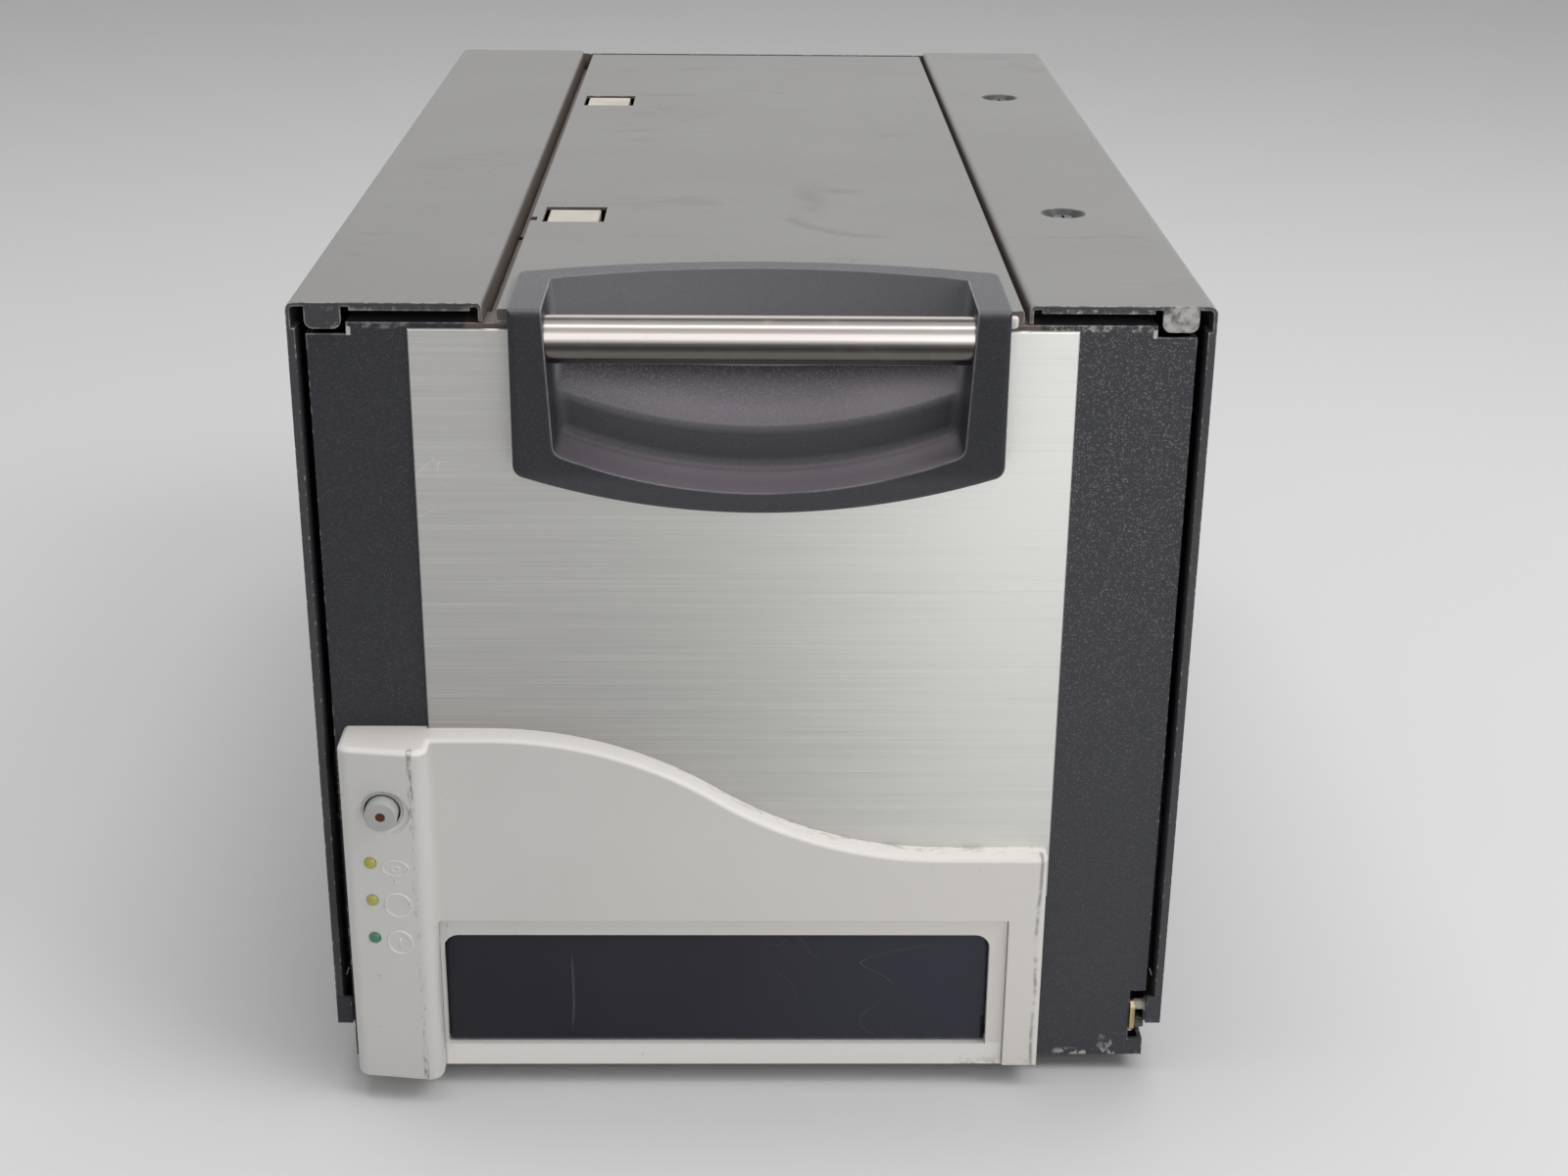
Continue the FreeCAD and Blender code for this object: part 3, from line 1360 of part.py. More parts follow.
def rack():
    """Straight rack under the tray, a gap of it standing over the pinion at rest."""
    half = tooth_pitch / 4 - tooth_backlash / 2
    slope = tan(radians(pressure_angle))
    start = behind_face(pinion_row) - 2 * tooth_pitch
    count = int((tray_rear - start) / tooth_pitch) - 1
    wide, narrow = half + root_depth * slope, half - gear_module * slope
    points = [(start, tray_bottom), (start, pitch_z + root_depth)]
    for i in range(count):
        centre = start + (i + 0.5) * tooth_pitch
        points += [(centre - wide, pitch_z + root_depth), (centre - narrow, pitch_z - gear_module),
                   (centre + narrow, pitch_z - gear_module), (centre + wide, pitch_z + root_depth)]
    end = start + count * tooth_pitch
    points += [(end, pitch_z + root_depth), (end, tray_bottom)]
    return prism_x(points, pinion_x - pinion_width / 2, pinion_x + pinion_width / 2)


def pinion_profile():
    """Involute teeth, one of them pointing straight up."""
    base = pitch_radius * cos(radians(pressure_angle))
    root, tip = pitch_radius - root_depth, pitch_radius + gear_module

    def half_angle(radius):
        ratio = acos(min(1.0, base / radius))
        at_pitch = tan(radians(pressure_angle)) - radians(pressure_angle)
        return (tooth_pitch / 2 - tooth_backlash) / 2 / pitch_radius + at_pitch - (tan(ratio) - ratio)

    radii = [root, base] + [base + (tip - base) * step / flank_steps for step in range(1, flank_steps + 1)]
    flank = [(r, half_angle(max(r, base))) for r in radii]
    points = []
    for tooth in range(pinion_teeth):
        middle = pi / 2 + 2 * pi * tooth / pinion_teeth
        points += [(r, middle - a) for r, a in flank] + [(r, middle + a) for r, a in flank[::-1]]
    y, z = behind_face(pinion_row), pinion_z
    return [(y + r * cos(a), z + r * sin(a)) for r, a in points]


def tray_pinion():
    x0, x1 = pinion_x - pinion_width / 2, pinion_x + pinion_width / 2
    y = behind_face(pinion_row)
    hub_end = motor_face_x - guide_wall - clearance
    return fuse(prism_x(pinion_profile(), x0, x1), rod_x(x1, hub_end, y, pinion_z, pinion_hub_radius),
                rod_x(x1, motor_face_x + motor_shaft_engaged, y, pinion_z, motor_shaft_radius))


def tray_motor():
    y, x1 = behind_face(pinion_row), motor_face_x + motor_can_length
    can = rod_x(motor_face_x, x1, y, pinion_z, motor_can_radius)
    cap = rod_x(x1, x1 + motor_cap_length, y, pinion_z, motor_can_radius - motor_cap_step)
    bore = rod_x(motor_face_x, motor_face_x + motor_shaft_engaged + past, y, pinion_z,
                 motor_shaft_radius + shaft_clearance)
    return cut(fuse(can, cap), bore)


def guide(plate_x):
    """Right-hand guide: a shelf in from plate_x, a wall beside the tray and a lip over it."""
    wall_x = tray_centre + guide_inner_wall
    low, high = shelf_top - guide_wall, tray_top + clearance + guide_wall
    lip_x, outside = wall_x - guide_lip, wall_x + guide_wall
    profile = [(lip_x, low), (plate_x, low), (plate_x, shelf_top), (outside, shelf_top), (outside, high),
               (lip_x, high), (lip_x, tray_top + clearance), (wall_x, tray_top + clearance),
               (wall_x, shelf_top), (lip_x, shelf_top)]
    return prism_y(profile, face_y + panel_sheet, tray_rear + clearance)


def left_tray_guide():
    """The left guide reaches from the left plate, so its shelf has another width."""
    return guide(2 * tray_centre + plate_inner).mirror(V(tray_centre, 0, 0), V(1, 0, 0))


def right_tray_guide():
    """The right guide also carries the plate that the tray's motor is screwed to."""
    y, x0 = behind_face(pinion_row), motor_face_x - guide_wall
    plate = box(x0, motor_face_x, y - motor_plate_half, y + motor_plate_half,
                pinion_z - motor_plate_drop, shelf_top - guide_wall)
    hole = rod_x(x0, motor_face_x, y, pinion_z, motor_shaft_radius + past)
    return cut(fuse(guide(plate_inner), plate), hole)


def tray_hub():
    """Sprung centring hub that grips the disc's centre hole."""
    seat = tray_top - disc_recess_depth
    top = seat + hub_height
    stem = rod_z(tray_bottom + hub_stem_lift, seat, tray_centre, disc_y, hub_radius - hub_neck)
    crown = rod_z(seat, top, tray_centre, disc_y, hub_radius)
    crown = rounded(crown, hub_round, lambda m: abs(m.z - top) < near)
    width, reach, lift = hub_slot
    slots = []
    for i in range(hub_slots):
        slot = Part.makeBox(width, reach, hub_height, V(-width / 2, hub_radius - reach, seat + lift))
        slot.rotate(V(0, 0, 0), V(0, 0, 1), 360.0 / hub_slots * i)
        slot.translate(V(tray_centre, disc_y, 0))
        slots.append(slot)
    return cut(fuse(stem, crown), *slots)


# ---- spools, rollers and print head ----
def turned(place, steps):
    """A shaft across both side plates with coaxial steps, each (x0, x1, radius)."""
    y, z = behind_face(place[0]), place[1]
    return fuse(across_plates(place, shaft_radius), *[rod_x(x0, x1, y, z, r) for x0, x1, r in steps])


def spool(place, flange_radius):
    """Core, two flanges and a notched drive wheel on its right-hand end."""
    y, z = behind_face(place[0]), place[1]
    wheel_x0, wheel_x1 = web_right + drive_wheel[0], web_right + drive_wheel[1]
    body = turned(place, [(web_left, web_right, core_radius),
                          (web_left - flange_thickness, web_left, flange_radius),
                          (web_right, web_right + flange_thickness, flange_radius),
                          (wheel_x0, wheel_x1, core_radius)])
    turns = [2 * pi * i / wheel_notches for i in range(wheel_notches)]
    return cut(body, *[rod_x(wheel_x0 - past, wheel_x1 + past, y + core_radius * cos(a),
                             z + core_radius * sin(a), wheel_notch_radius) for a in turns])


def roll(place, radius):
    """Wound film or ribbon on a spool's core."""
    y, z = behind_face(place[0]), place[1]
    return cut(rod_x(web_left + roll_gap, web_right - roll_gap, y, z, radius),
               rod_x(web_left, web_right, y, z, core_radius))


def roller(place, radius, wheel_step):
    """Coated roller with a drive wheel of a smaller radius on its right-hand end."""
    wheel_x0, wheel_x1 = web_right + roller_wheel[0], web_right + roller_wheel[1]
    return turned(place, [(web_left + roller_gap, web_right - roller_gap, radius),
                          (wheel_x0, wheel_x1, radius - wheel_step)])


def film_supply_spool():
    return spool(film_supply_at, core_radius + supply_flange)


def film_supply_roll():
    return roll(film_supply_at, film_supply_roll_radius)


def film_takeup_spool():
    return spool(film_takeup_at, film_takeup_flange)


def ribbon_supply_spool():
    return spool(ribbon_supply_at, core_radius + supply_flange)


def ribbon_supply_roll():
    return roll(ribbon_supply_at, ribbon_supply_roll_radius)


def ribbon_takeup_spool():
    return spool(ribbon_takeup_at, ribbon_takeup_flange)


def transfer_roller():
    return roller(transfer_at, transfer_radius, transfer_wheel_step)


def platen_roller():
    return roller(platen_at, platen_radius, platen_wheel_step)


def head_place():
    """Middle of the print head along Y, and its underside."""
    return behind_face(platen_at[0]), platen_at[1] + platen_radius + head_gap


def print_head():
    """Thermal bar resting just above the platen, with a heat sink's fins on its top."""
    y, z = head_place()
    left, right = web_left + head_bar_inset, web_right - head_bar_inset
    front, top = y - head_bar_depth / 2, z + head_bar_height
    start, width, pitch = fin_groove
    grooves = [box(left - past, right + past, front + start + pitch * i, front + start + pitch * i + width,
                   z + fin_base, top + past) for i in range(fin_grooves)]
    return cut(box(left, right, front, front + head_bar_depth, z, top), *grooves)


def head_arm():
    """Tube round the pivot rod with two cheeks that hold the ends of the print head."""
    y, z = behind_face(head_pivot_at[0]), head_pivot_at[1]
    y_head, z_head = head_place()
    front, back, top = y_head - head_bar_depth / 2, y_head + head_bar_depth / 2, z_head + head_bar_height
    profile = [(front, z_head + cheek_step, 1.5), (back + cheek_sheet, z_head + cheek_step),
               (y, z - head_pivot_radius), (y + head_pivot_radius, z, 3), (y, z + head_pivot_radius),
               (back, top, 2), (front, top, 1.5)]
    left, right = web_left + cheek_inset, web_right - cheek_inset
    cheeks = [prism_x(profile, left, left + cheek_sheet), prism_x(profile, right - cheek_sheet, right)]
    tube = rod_x(left, right, y, z, head_pivot_radius)
    return cut(fuse(tube, *cheeks), rod_x(web_left, web_right, y, z, shaft_radius + shaft_clearance))


def drive_motors():
    """Square stepper motors on the right side plate for the film and the ribbon."""
    front = plate_inner - motor_depth
    boss_length, boss_radius = motor_boss
    shaft_length, shaft_end_radius = stepper_shaft
    wheel_far, wheel_near, wheel_radius = stepper_wheel
    motors = []
    for row, z in motors_at:
        y = behind_face(row)
        motors.append(fuse(prism_x(around(y, z, motor_side, motor_side, motor_corner), front, plate_inner),
                           rod_x(front - boss_length, front, y, z, boss_radius),
                           rod_x(front - shaft_length, front, y, z, shaft_end_radius),
                           rod_x(front - wheel_far, front - wheel_near, y, z, wheel_radius)))
    return Part.makeCompound(motors)


def heater_shroud():
    """Half-round shield over the hot transfer roller, from plate to plate."""
    y, z = behind_face(transfer_at[0]), transfer_at[1]
    inside = transfer_radius + shroud_gap
    outside = inside + shroud_wall
    shell = cut(rod_x(-plate_inner, plate_inner, y, z, outside),
                rod_x(-plate_inner, plate_inner, y, z, inside))
    return shell.common(box(-plate_inner, plate_inner, y - outside, y + outside,
                            z + shroud_lift, z + outside))


# ---- latch ----
def latch_lever():
    """Flat lever behind the notch in the panel's lower right corner, hooked at its rear end."""
    r, z = latch_pivot_row, latch_pivot_z
    low, high = z - latch_nose_low, z + latch_nose_high
    drawing = [(-latch_nose, low, 1.5), (r - latch_bend, low - latch_belly, 3),
               (r + latch_bend, low + latch_belly, 2), (r + latch_shank, low + 3 * latch_belly),
               (latch_hook_row, z - latch_hook_low, 1), (latch_hook_row, z + latch_hook_high, 2),
               (r + latch_bend, high, 3), (-latch_nose, high, 3)]
    plate = prism_x([(behind_face(c[0]), *c[1:]) for c in drawing], latch_x, latch_x + latch_sheet)
    return cut(plate, rod_x(latch_x - past, latch_x + latch_sheet + past, behind_face(r), z,
                            latch_pin_radius + shaft_clearance))


pieces = (base_pan, left_cover, right_cover, rear_panel, rubber_feet, left_outer_rail, right_outer_rail,
          cover_screws, power_supply, power_inlet, switch_body, power_rocker, fan_frame, fan_rotor,
          data_ports, control_board, left_mid_rail, right_mid_rail, front_panel, aluminium_fascia,
          handle_bezel, handle_bar, lower_bezel, tray_frame, button_ring, status_lenses, ready_lens,
          top_panel, window_tabs, left_side_plate, right_side_plate, left_inner_rail, right_inner_rail,
          cross_braces, tie_rods, shaft_bushes, left_tray_guide, right_tray_guide, tray_motor,
          drive_motors, heater_shroud, button_board, disc_tray, tray_hub, tray_door, tray_pinion,
          operator_button, button_lens, film_supply_spool, film_supply_roll, film_takeup_spool,
          ribbon_supply_spool, ribbon_supply_roll, ribbon_takeup_spool, platen_roller, transfer_roller,
          head_arm, print_head, latch_lever)

os.makedirs("parts", exist_ok=True)
for piece in pieces:
    piece().exportStep("parts/" + piece.__name__ + ".step")
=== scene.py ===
# %% [markdown]
# # A disc label printer, dressed
# The printer's parts are already made as solids, at their real size and in their real places.
# This lesson loads them as a fixed frame, gives each a finish, and adds the small raised and
# bent pieces that only the eye needs. Lengths are metres. X runs to the right seen from the
# front, Y to the back and Z up.

# %% Load the frame
from math import cos, radians, sin

import bmesh
import bpy
from mathutils import Matrix, Vector


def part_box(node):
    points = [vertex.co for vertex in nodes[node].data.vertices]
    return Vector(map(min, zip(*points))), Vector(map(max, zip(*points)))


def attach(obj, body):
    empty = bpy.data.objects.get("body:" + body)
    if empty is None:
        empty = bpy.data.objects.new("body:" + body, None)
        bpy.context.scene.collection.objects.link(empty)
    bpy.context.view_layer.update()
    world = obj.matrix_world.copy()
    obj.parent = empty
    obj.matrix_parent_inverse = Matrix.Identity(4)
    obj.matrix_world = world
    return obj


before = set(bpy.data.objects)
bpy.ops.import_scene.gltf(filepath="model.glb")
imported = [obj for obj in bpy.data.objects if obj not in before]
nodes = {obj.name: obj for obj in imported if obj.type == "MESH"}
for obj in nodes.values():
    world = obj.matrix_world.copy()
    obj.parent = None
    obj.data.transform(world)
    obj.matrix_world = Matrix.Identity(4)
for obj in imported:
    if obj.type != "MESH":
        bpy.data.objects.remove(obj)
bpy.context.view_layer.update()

# %% [markdown]
# The shared planes are read from the frame, so that what is measured from them follows the
# solids. The front panel's face is what most of the front pieces sit on.

# %% Planes that the pieces share
mm = 0.001
face_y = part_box("front_panel")[0].y
column_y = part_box("lower_bezel")[0].y
rear_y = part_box("rear_panel")[1].y
cover_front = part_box("left_cover")[0].y
cover_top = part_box("right_cover")[1].z
print("face", round(face_y, 4), "column", round(column_y, 4), "rear", round(rear_y, 4))

# %% [markdown]
# ## Shader sums
# A finish is easier to read as a sum than as a web of links. A Signal wraps one socket, so
# that `1 - mask` or `grain * 0.2` adds the Math node by itself. Colours don't go through
# Math, which would turn them grey: they are mixed.

# %% Signal
class Signal:
    """One socket in a material. Sums with numbers or other Signals add Math nodes."""

    def __init__(self, finish, socket):
        self.finish = finish
        self.socket = socket

    def math(self, operation, *values):
        return self.finish.node("Math", {"operation": operation}, dict(enumerate(values)))

    def __add__(self, other):
        return self.math("ADD", self, other)

    def __sub__(self, other):
        return self.math("SUBTRACT", self, other)

    def __rsub__(self, other):
        return self.math("SUBTRACT", other, self)

    def __mul__(self, other):
        return self.math("MULTIPLY", self, other)

    __radd__ = __add__
    __rmul__ = __mul__

    def size(self):
        return self.math("ABSOLUTE", self)

    def most(self, other):
        return self.math("MAXIMUM", self, other)

    def step(self, start, end):
        """Rises smoothly from 0 at start to 1 at end, or falls where end is the lower."""
        values = {"Value": self, "From Min": start, "From Max": end}
        return self.finish.node("MapRange", {"interpolation_type": "SMOOTHSTEP"}, values)


print("Signal adds Math nodes as a sum is written")

# %% [markdown]
# A Finish is one material. Its `node` method adds any node from its type, its settings and
# the values of its sockets. Patterns read Object coordinates: each piece's object sits at the
# origin, so they are metres in the printer's own frame and move with the piece.

# %% Finish
class Finish:
    """A material with its principled shader, and short names for the patterns it uses."""

    def __init__(self, name):
        self.material = bpy.data.materials.new(name)
        self.material.use_nodes = True
        self.tree = self.material.node_tree
        self.shader = self.tree.nodes["Principled BSDF"]
        self.place = self.node("TexCoord", output="Object")
        axes = self.node("SeparateXYZ", values={"Vector": self.place}).socket.node
        self.x, self.y, self.z = [Signal(self, axes.outputs[axis]) for axis in "XYZ"]

    def node(self, kind, settings=None, values=None, output=0):
        made = self.tree.nodes.new("ShaderNode" + kind)
        for setting, value in (settings or {}).items():
            if setting == "stops":
                strip = made.color_ramp.elements
                for place, tone in value[1:-1]:
                    strip.new(place).color = tone
                strip[0].color, strip[-1].color = value[0][1], value[-1][1]
            else:
                setattr(made, setting, value)
        for name, value in (values or {}).items():
            self.feed(made.inputs[name], value)
        return Signal(self, made.outputs[output])

    def feed(self, socket, value):
        if isinstance(value, Signal):
            self.tree.links.new(value.socket, socket)
        else:
            socket.default_value = value

    def set(self, **values):
        """Feeds the shader's sockets, named with underscores for spaces."""
        for name, value in values.items():
            self.feed(self.shader.inputs[name.replace("_", " ")], value)
        return self

    def mix(self, factor, first, second):
        return self.node("Mix", {"data_type": "RGBA"}, {0: factor, 6: first, 7: second}, 2)

    def stretched(self, stretch):
        return self.node("VectorMath", {"operation": "MULTIPLY"}, {0: self.place, 1: stretch})

    def noise(self, scale, detail=2.0, rough=0.5, stretch=None):
        where = self.stretched(stretch) if stretch else self.place
        return self.node("TexNoise", {}, {"Vector": where, "Scale": scale, "Detail": detail,
                                          "Roughness": rough})

    def cells(self, scale, output="Distance"):
        return self.node("TexVoronoi", {}, {"Vector": self.place, "Scale": scale}, output)

    def bump(self, height, strength, depth, over=None):
        values = {"Height": height, "Strength": strength, "Distance": depth}
        if over:
            values["Normal"] = over
        return self.node("Bump", {}, values)

    def rounded_normal(self, radius):
        return self.node("Bevel", {"samples": 6}, {"Radius": radius})

    def edges(self, radius):
        """Near 0 on a flat, and larger the sharper the edge that lies within the radius."""
        true_normal = self.node("NewGeometry", output="Normal")
        turned = self.node("VectorMath", {"operation": "DOT_PRODUCT"},
                           {0: self.rounded_normal(radius), 1: true_normal}, "Value")
        return 1 - turned

    def scratches(self, scale, width, share, stretch=None):
        """Thin short lines: the contours of one noise, let through where another is high."""
        line = (self.noise(scale, 1.0, 0.4, stretch) - 0.5).size().step(width, 0.0)
        return line * self.noise(scale * 0.7, 1.0).step(1.0 - share, 1.02 - share)

    def upward(self):
        """How far a face looks up: 1 flat on top, 0 on a wall, -1 underneath."""
        normal = self.node("NewGeometry", output="Normal")
        return self.node("SeparateXYZ", values={"Vector": normal}, output="Z")

    def within(self, axis, low, high, soft=0.0005):
        """1 between low and high along an axis, with soft ends."""
        return axis.step(low - soft, low + soft) * axis.step(high + soft, high - soft)


def colour(red, green, blue):
    """A shader colour from the 0 to 255 values of a colour picker."""
    def linear(value):
        value /= 255
        return value / 12.92 if value <= 0.04045 else ((value + 0.055) / 1.055) ** 2.4
    return (linear(red), linear(green), linear(blue), 1.0)


print("mid grey is", [round(v, 3) for v in colour(128, 128, 128)])

# %% [markdown]
# ## Painted steel
# The housing is steel under a metallic powder coat. Such a coat is pale where it faces the
# light and charcoal where it faces the room, because its flakes lie flat and mirror what is
# above them. That reflection is painted here: mixing a pale and a dark tone by how far the face
# looks up gives a painted sheen on top in a plain colour, which also survives an export. Painted
# light makes the coat a little lighter to the right, and painted shade makes the top darker at
# its left. Over it come smudges, scratches, dust in the gaps, and bare metal where edges have
# been knocked, most of all along the front hems.

# %% Tones and places on the painted steel
# Bare steel where the coat is gone; the flakes' painted glints take the same colour.
bare_steel_and_glint = colour(205, 203, 199)
lid_low, lid_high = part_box("top_panel")
lid_z = lid_high.z
dimple_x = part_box("right_cover")[1].x - 31 * mm
dimple_ys = [face_y + row * mm for row in (119, 338)]
tab_span = (121.2 * mm, 133.5 * mm)
panel_corner_span = (119.5 * mm, 120.9 * mm)
print("lid's top", round(lid_z, 4), "dimples", round(dimple_x, 4), [round(y, 4) for y in dimple_ys])

# %% [markdown]
# First comes the coat as new, with its painted sheen on top and painted light from the right.
# The flakes are the cells of a Voronoi pattern: each cell has a colour of its own, and only the
# few cells whose red is high are let through as bright specks: painted glints, stronger to the
# right and higher up.

# %% Fresh coat with painted sheen, light and glints
flakes_per_metre = 3100.0


def new_coat_and_painted_light(f, looks_up, tones, sparkle):
    """A painted sheen above, charcoal sides with painted shade at the left and painted light at the
    right, and flakes as painted glints.
    """
    top, side_shaded_left, side_lit_right, smudge_and_shade = tones
    lit_from_right = f.x.step(-0.13, 0.13)
    # Painted light: the sides are lighter to the right, and what looks up takes the painted sheen.
    paint = f.mix(looks_up, f.mix(lit_from_right, side_shaded_left, side_lit_right), top)
    paint = f.mix(f.noise(9.0, 3.0, 0.6).step(0.35, 0.65) * 0.12, paint, smudge_and_shade)
    # Painted shade: the top is darker towards the left.
    paint = f.mix((1 - lit_from_right) * looks_up * 0.14, paint, smudge_and_shade)
    flake = f.node("SeparateColor", values={"Color": f.cells(flakes_per_metre, "Color")})
    # Painted glints: the flakes are brighter to the right and higher up.
    glitter = flake.step(0.8, 1.0) * (lit_from_right * f.z.step(0.06, 0.24) * 0.8 + 0.2) * sparkle
    return f.mix(glitter, paint, bare_steel_and_glint)


print("flakes to the metre:", flakes_per_metre)

# %% [markdown]
# Dust settles in the gaps on both sides of the lid, where no cloth reaches. The dimples round
# the screws are painted darker, as painted shade in the recesses. Both are masks: 1 where the
# mark is, 0 elsewhere.

# %% Dust, and painted shade in the dimples
def gap_dust(f, looks_up):
    """The ledges under the lid and the walls beside it, as far as the back's outer face."""
    inward = f.x.size().step(lid_high.x + 6 * mm, lid_high.x + 4.5 * mm) * f.z.step(0.235, 0.24)
    ledges = f.z.step(lid_z - 2 * mm, lid_z - 5 * mm) * looks_up
    walls = f.z.step(lid_z + 0.9 * mm, lid_z - 0.3 * mm) * (1 - looks_up)
    return inward * ledges.most(walls) * f.y.step(rear_y - 0.5 * mm, rear_y - 0.8 * mm)


def screw_dimple_shade(f):
    """Painted shade: a round patch at each screw of the right cover, only where the skin is pressed
    in.
    """
    outer, inner = 8.2 * mm, 7.2 * mm
    dimple_shade = 0.0
    for y in dimple_ys:
        across, along = f.x - dimple_x, f.y - y
        dimple_shade = dimple_shade + (across * across + along * along).step(outer ** 2, inner ** 2)
    pressed_in = f.z.step(cover_top - 0.05 * mm, cover_top - 0.5 * mm) * f.z.step(0.2, 0.23)
    return dimple_shade * pressed_in


print("dimples:", len(dimple_ys))

# %% [markdown]
# Hands and cloths leave smudges. The lid carries three a little right of its middle: a short
# wipe, a blot beside it, and a curved trace in front of both. A noise added to X or Y before
# the mask is cut makes their outlines wander.

# %% Smudges on the lid
trace_centre = (46 * mm, -95 * mm)
trace_inner, trace_outer = 31 * mm, 35 * mm


def lid_smudges(f, looks_up):
    wavy = (f.noise(60.0, 3.0) - 0.5) * 8 * mm
    wipe = f.within(f.y + wavy, -0.062, -0.056, 0.004) * f.within(f.x, 0.024, 0.039, 0.008)
    blot = f.within(f.x + wavy, 0.018, 0.024, 0.006) * f.within(f.y, -0.092, -0.052, 0.014)
    across, along = f.x - trace_centre[0], f.y - trace_centre[1]
    away = across * across + along * along + wavy * 0.03
    trace = f.within(away, trace_inner ** 2, trace_outer ** 2, 2.0e-4)
    trace = trace * f.x.step(0.05, 0.036) * f.y.step(-0.085, -0.1) * 0.8
    on_lid = f.within(f.z, lid_z - 0.6 * mm, lid_z + 0.6 * mm, 0.2 * mm) * looks_up
    return wipe.most(blot).most(trace) * on_lid * (f.noise(45.0, 4.0, 0.7) + 0.1).step(0.35, 0.75)


print("the lid's trace bends round", [round(v, 3) for v in trace_centre])

# %% [markdown]
# The coat has gone where the steel is knocked. Edges lose it in spots, the foot at the right
# loses it in chips, and the front hems lose it in dashes. The covers' front tabs are rubbed
# bare, the right one most. Two noises, one fine and one coarse, break all of these up.
# Along the front's top edges the steel is also painted lighter without a break: a painted
# highlight.

# %% Bare metal
def rubbed_tabs(f, looks_up, patchy, coarse):
    tab = f.within(f.x.size(), *tab_span) * f.z.step(cover_top - 10 * mm, cover_top - 9 * mm)
    tab = tab * f.y.step(cover_front + 1.5 * mm, cover_front + 0.8 * mm) * (1 - looks_up)
    return tab * f.x.step(-0.05, 0.1) * (patchy * 0.5 + coarse * 0.5).step(0.36, 0.6) * 0.85


def panel_corners(f):
    ragged = (f.noise(700.0, 2.0) - 0.5) * 1.6 * mm
    corner = f.within(f.x.size(), *panel_corner_span, 0.2 * mm)
    corner = corner * f.within(f.z + ragged, 0.2575, 0.2602, 0.2 * mm)
    return corner * f.y.step(face_y + 1.0 * mm, face_y + 0.5 * mm) * 1.2


def hem_dashes(f, patchy, coarse):
    along_right = f.within(f.x, 0.085, 0.119, 0.004)
    along_left = f.within(f.x, -0.126, -0.09, 0.004) * 0.35
    on_hem = f.within(f.z, cover_top - 2.6 * mm, cover_top - 1.2 * mm, 0.3 * mm)
    on_panel = f.within(f.z, cover_top - 8.4 * mm, cover_top - 6 * mm, 0.4 * mm)
    in_front = f.y.step(face_y + 1.5 * mm, face_y + 1.0 * mm)
    dashes = on_hem.most(on_panel) * in_front * (along_right + along_left)
    return dashes * (patchy * 0.6 + coarse * 0.4).step(0.5, 0.6)


def bare_metal(f, looks_up):
    patchy, coarse = f.noise(420.0, 3.0, 0.7), f.noise(150.0, 3.0, 0.65)
    edge = f.edges(0.9 * mm).step(0.03, 0.22)
    front_top = f.y.step(face_y + 14 * mm, face_y + 1 * mm) * f.z.step(0.249, 0.257)
    knocked = edge * (patchy + front_top * 0.1).step(0.55, 0.62)
    low_right = f.z.step(24 * mm, 10 * mm) * f.x.step(0.112, 0.128)
    foot = f.z.step(9 * mm, 7.5 * mm) * f.within(f.x, 0.103, 0.134, 0.004)
    chips = low_right.most(foot) * (coarse * 0.6 + patchy * 0.4).step(0.56, 0.6)
    bare = knocked.most(chips.most(panel_corners(f)) * 0.8)
    # Painted highlight: the front top edges are lighter along their whole length.
    bare = bare.most(rubbed_tabs(f, looks_up, patchy, coarse)).most(edge * front_top * 0.35)
    return bare.most(hem_dashes(f, patchy, coarse) * 0.8)


print("bare metal: edges, chips, corners, tabs and dashes")

# %% [markdown]
# The worn coat puts the layers in order: new paint with its painted sheen and light, smudges,
# dust, painted shade in the dimples, scratches, and bare metal last. The front panel and the
# housing differ in tone, sparkle and marks only.

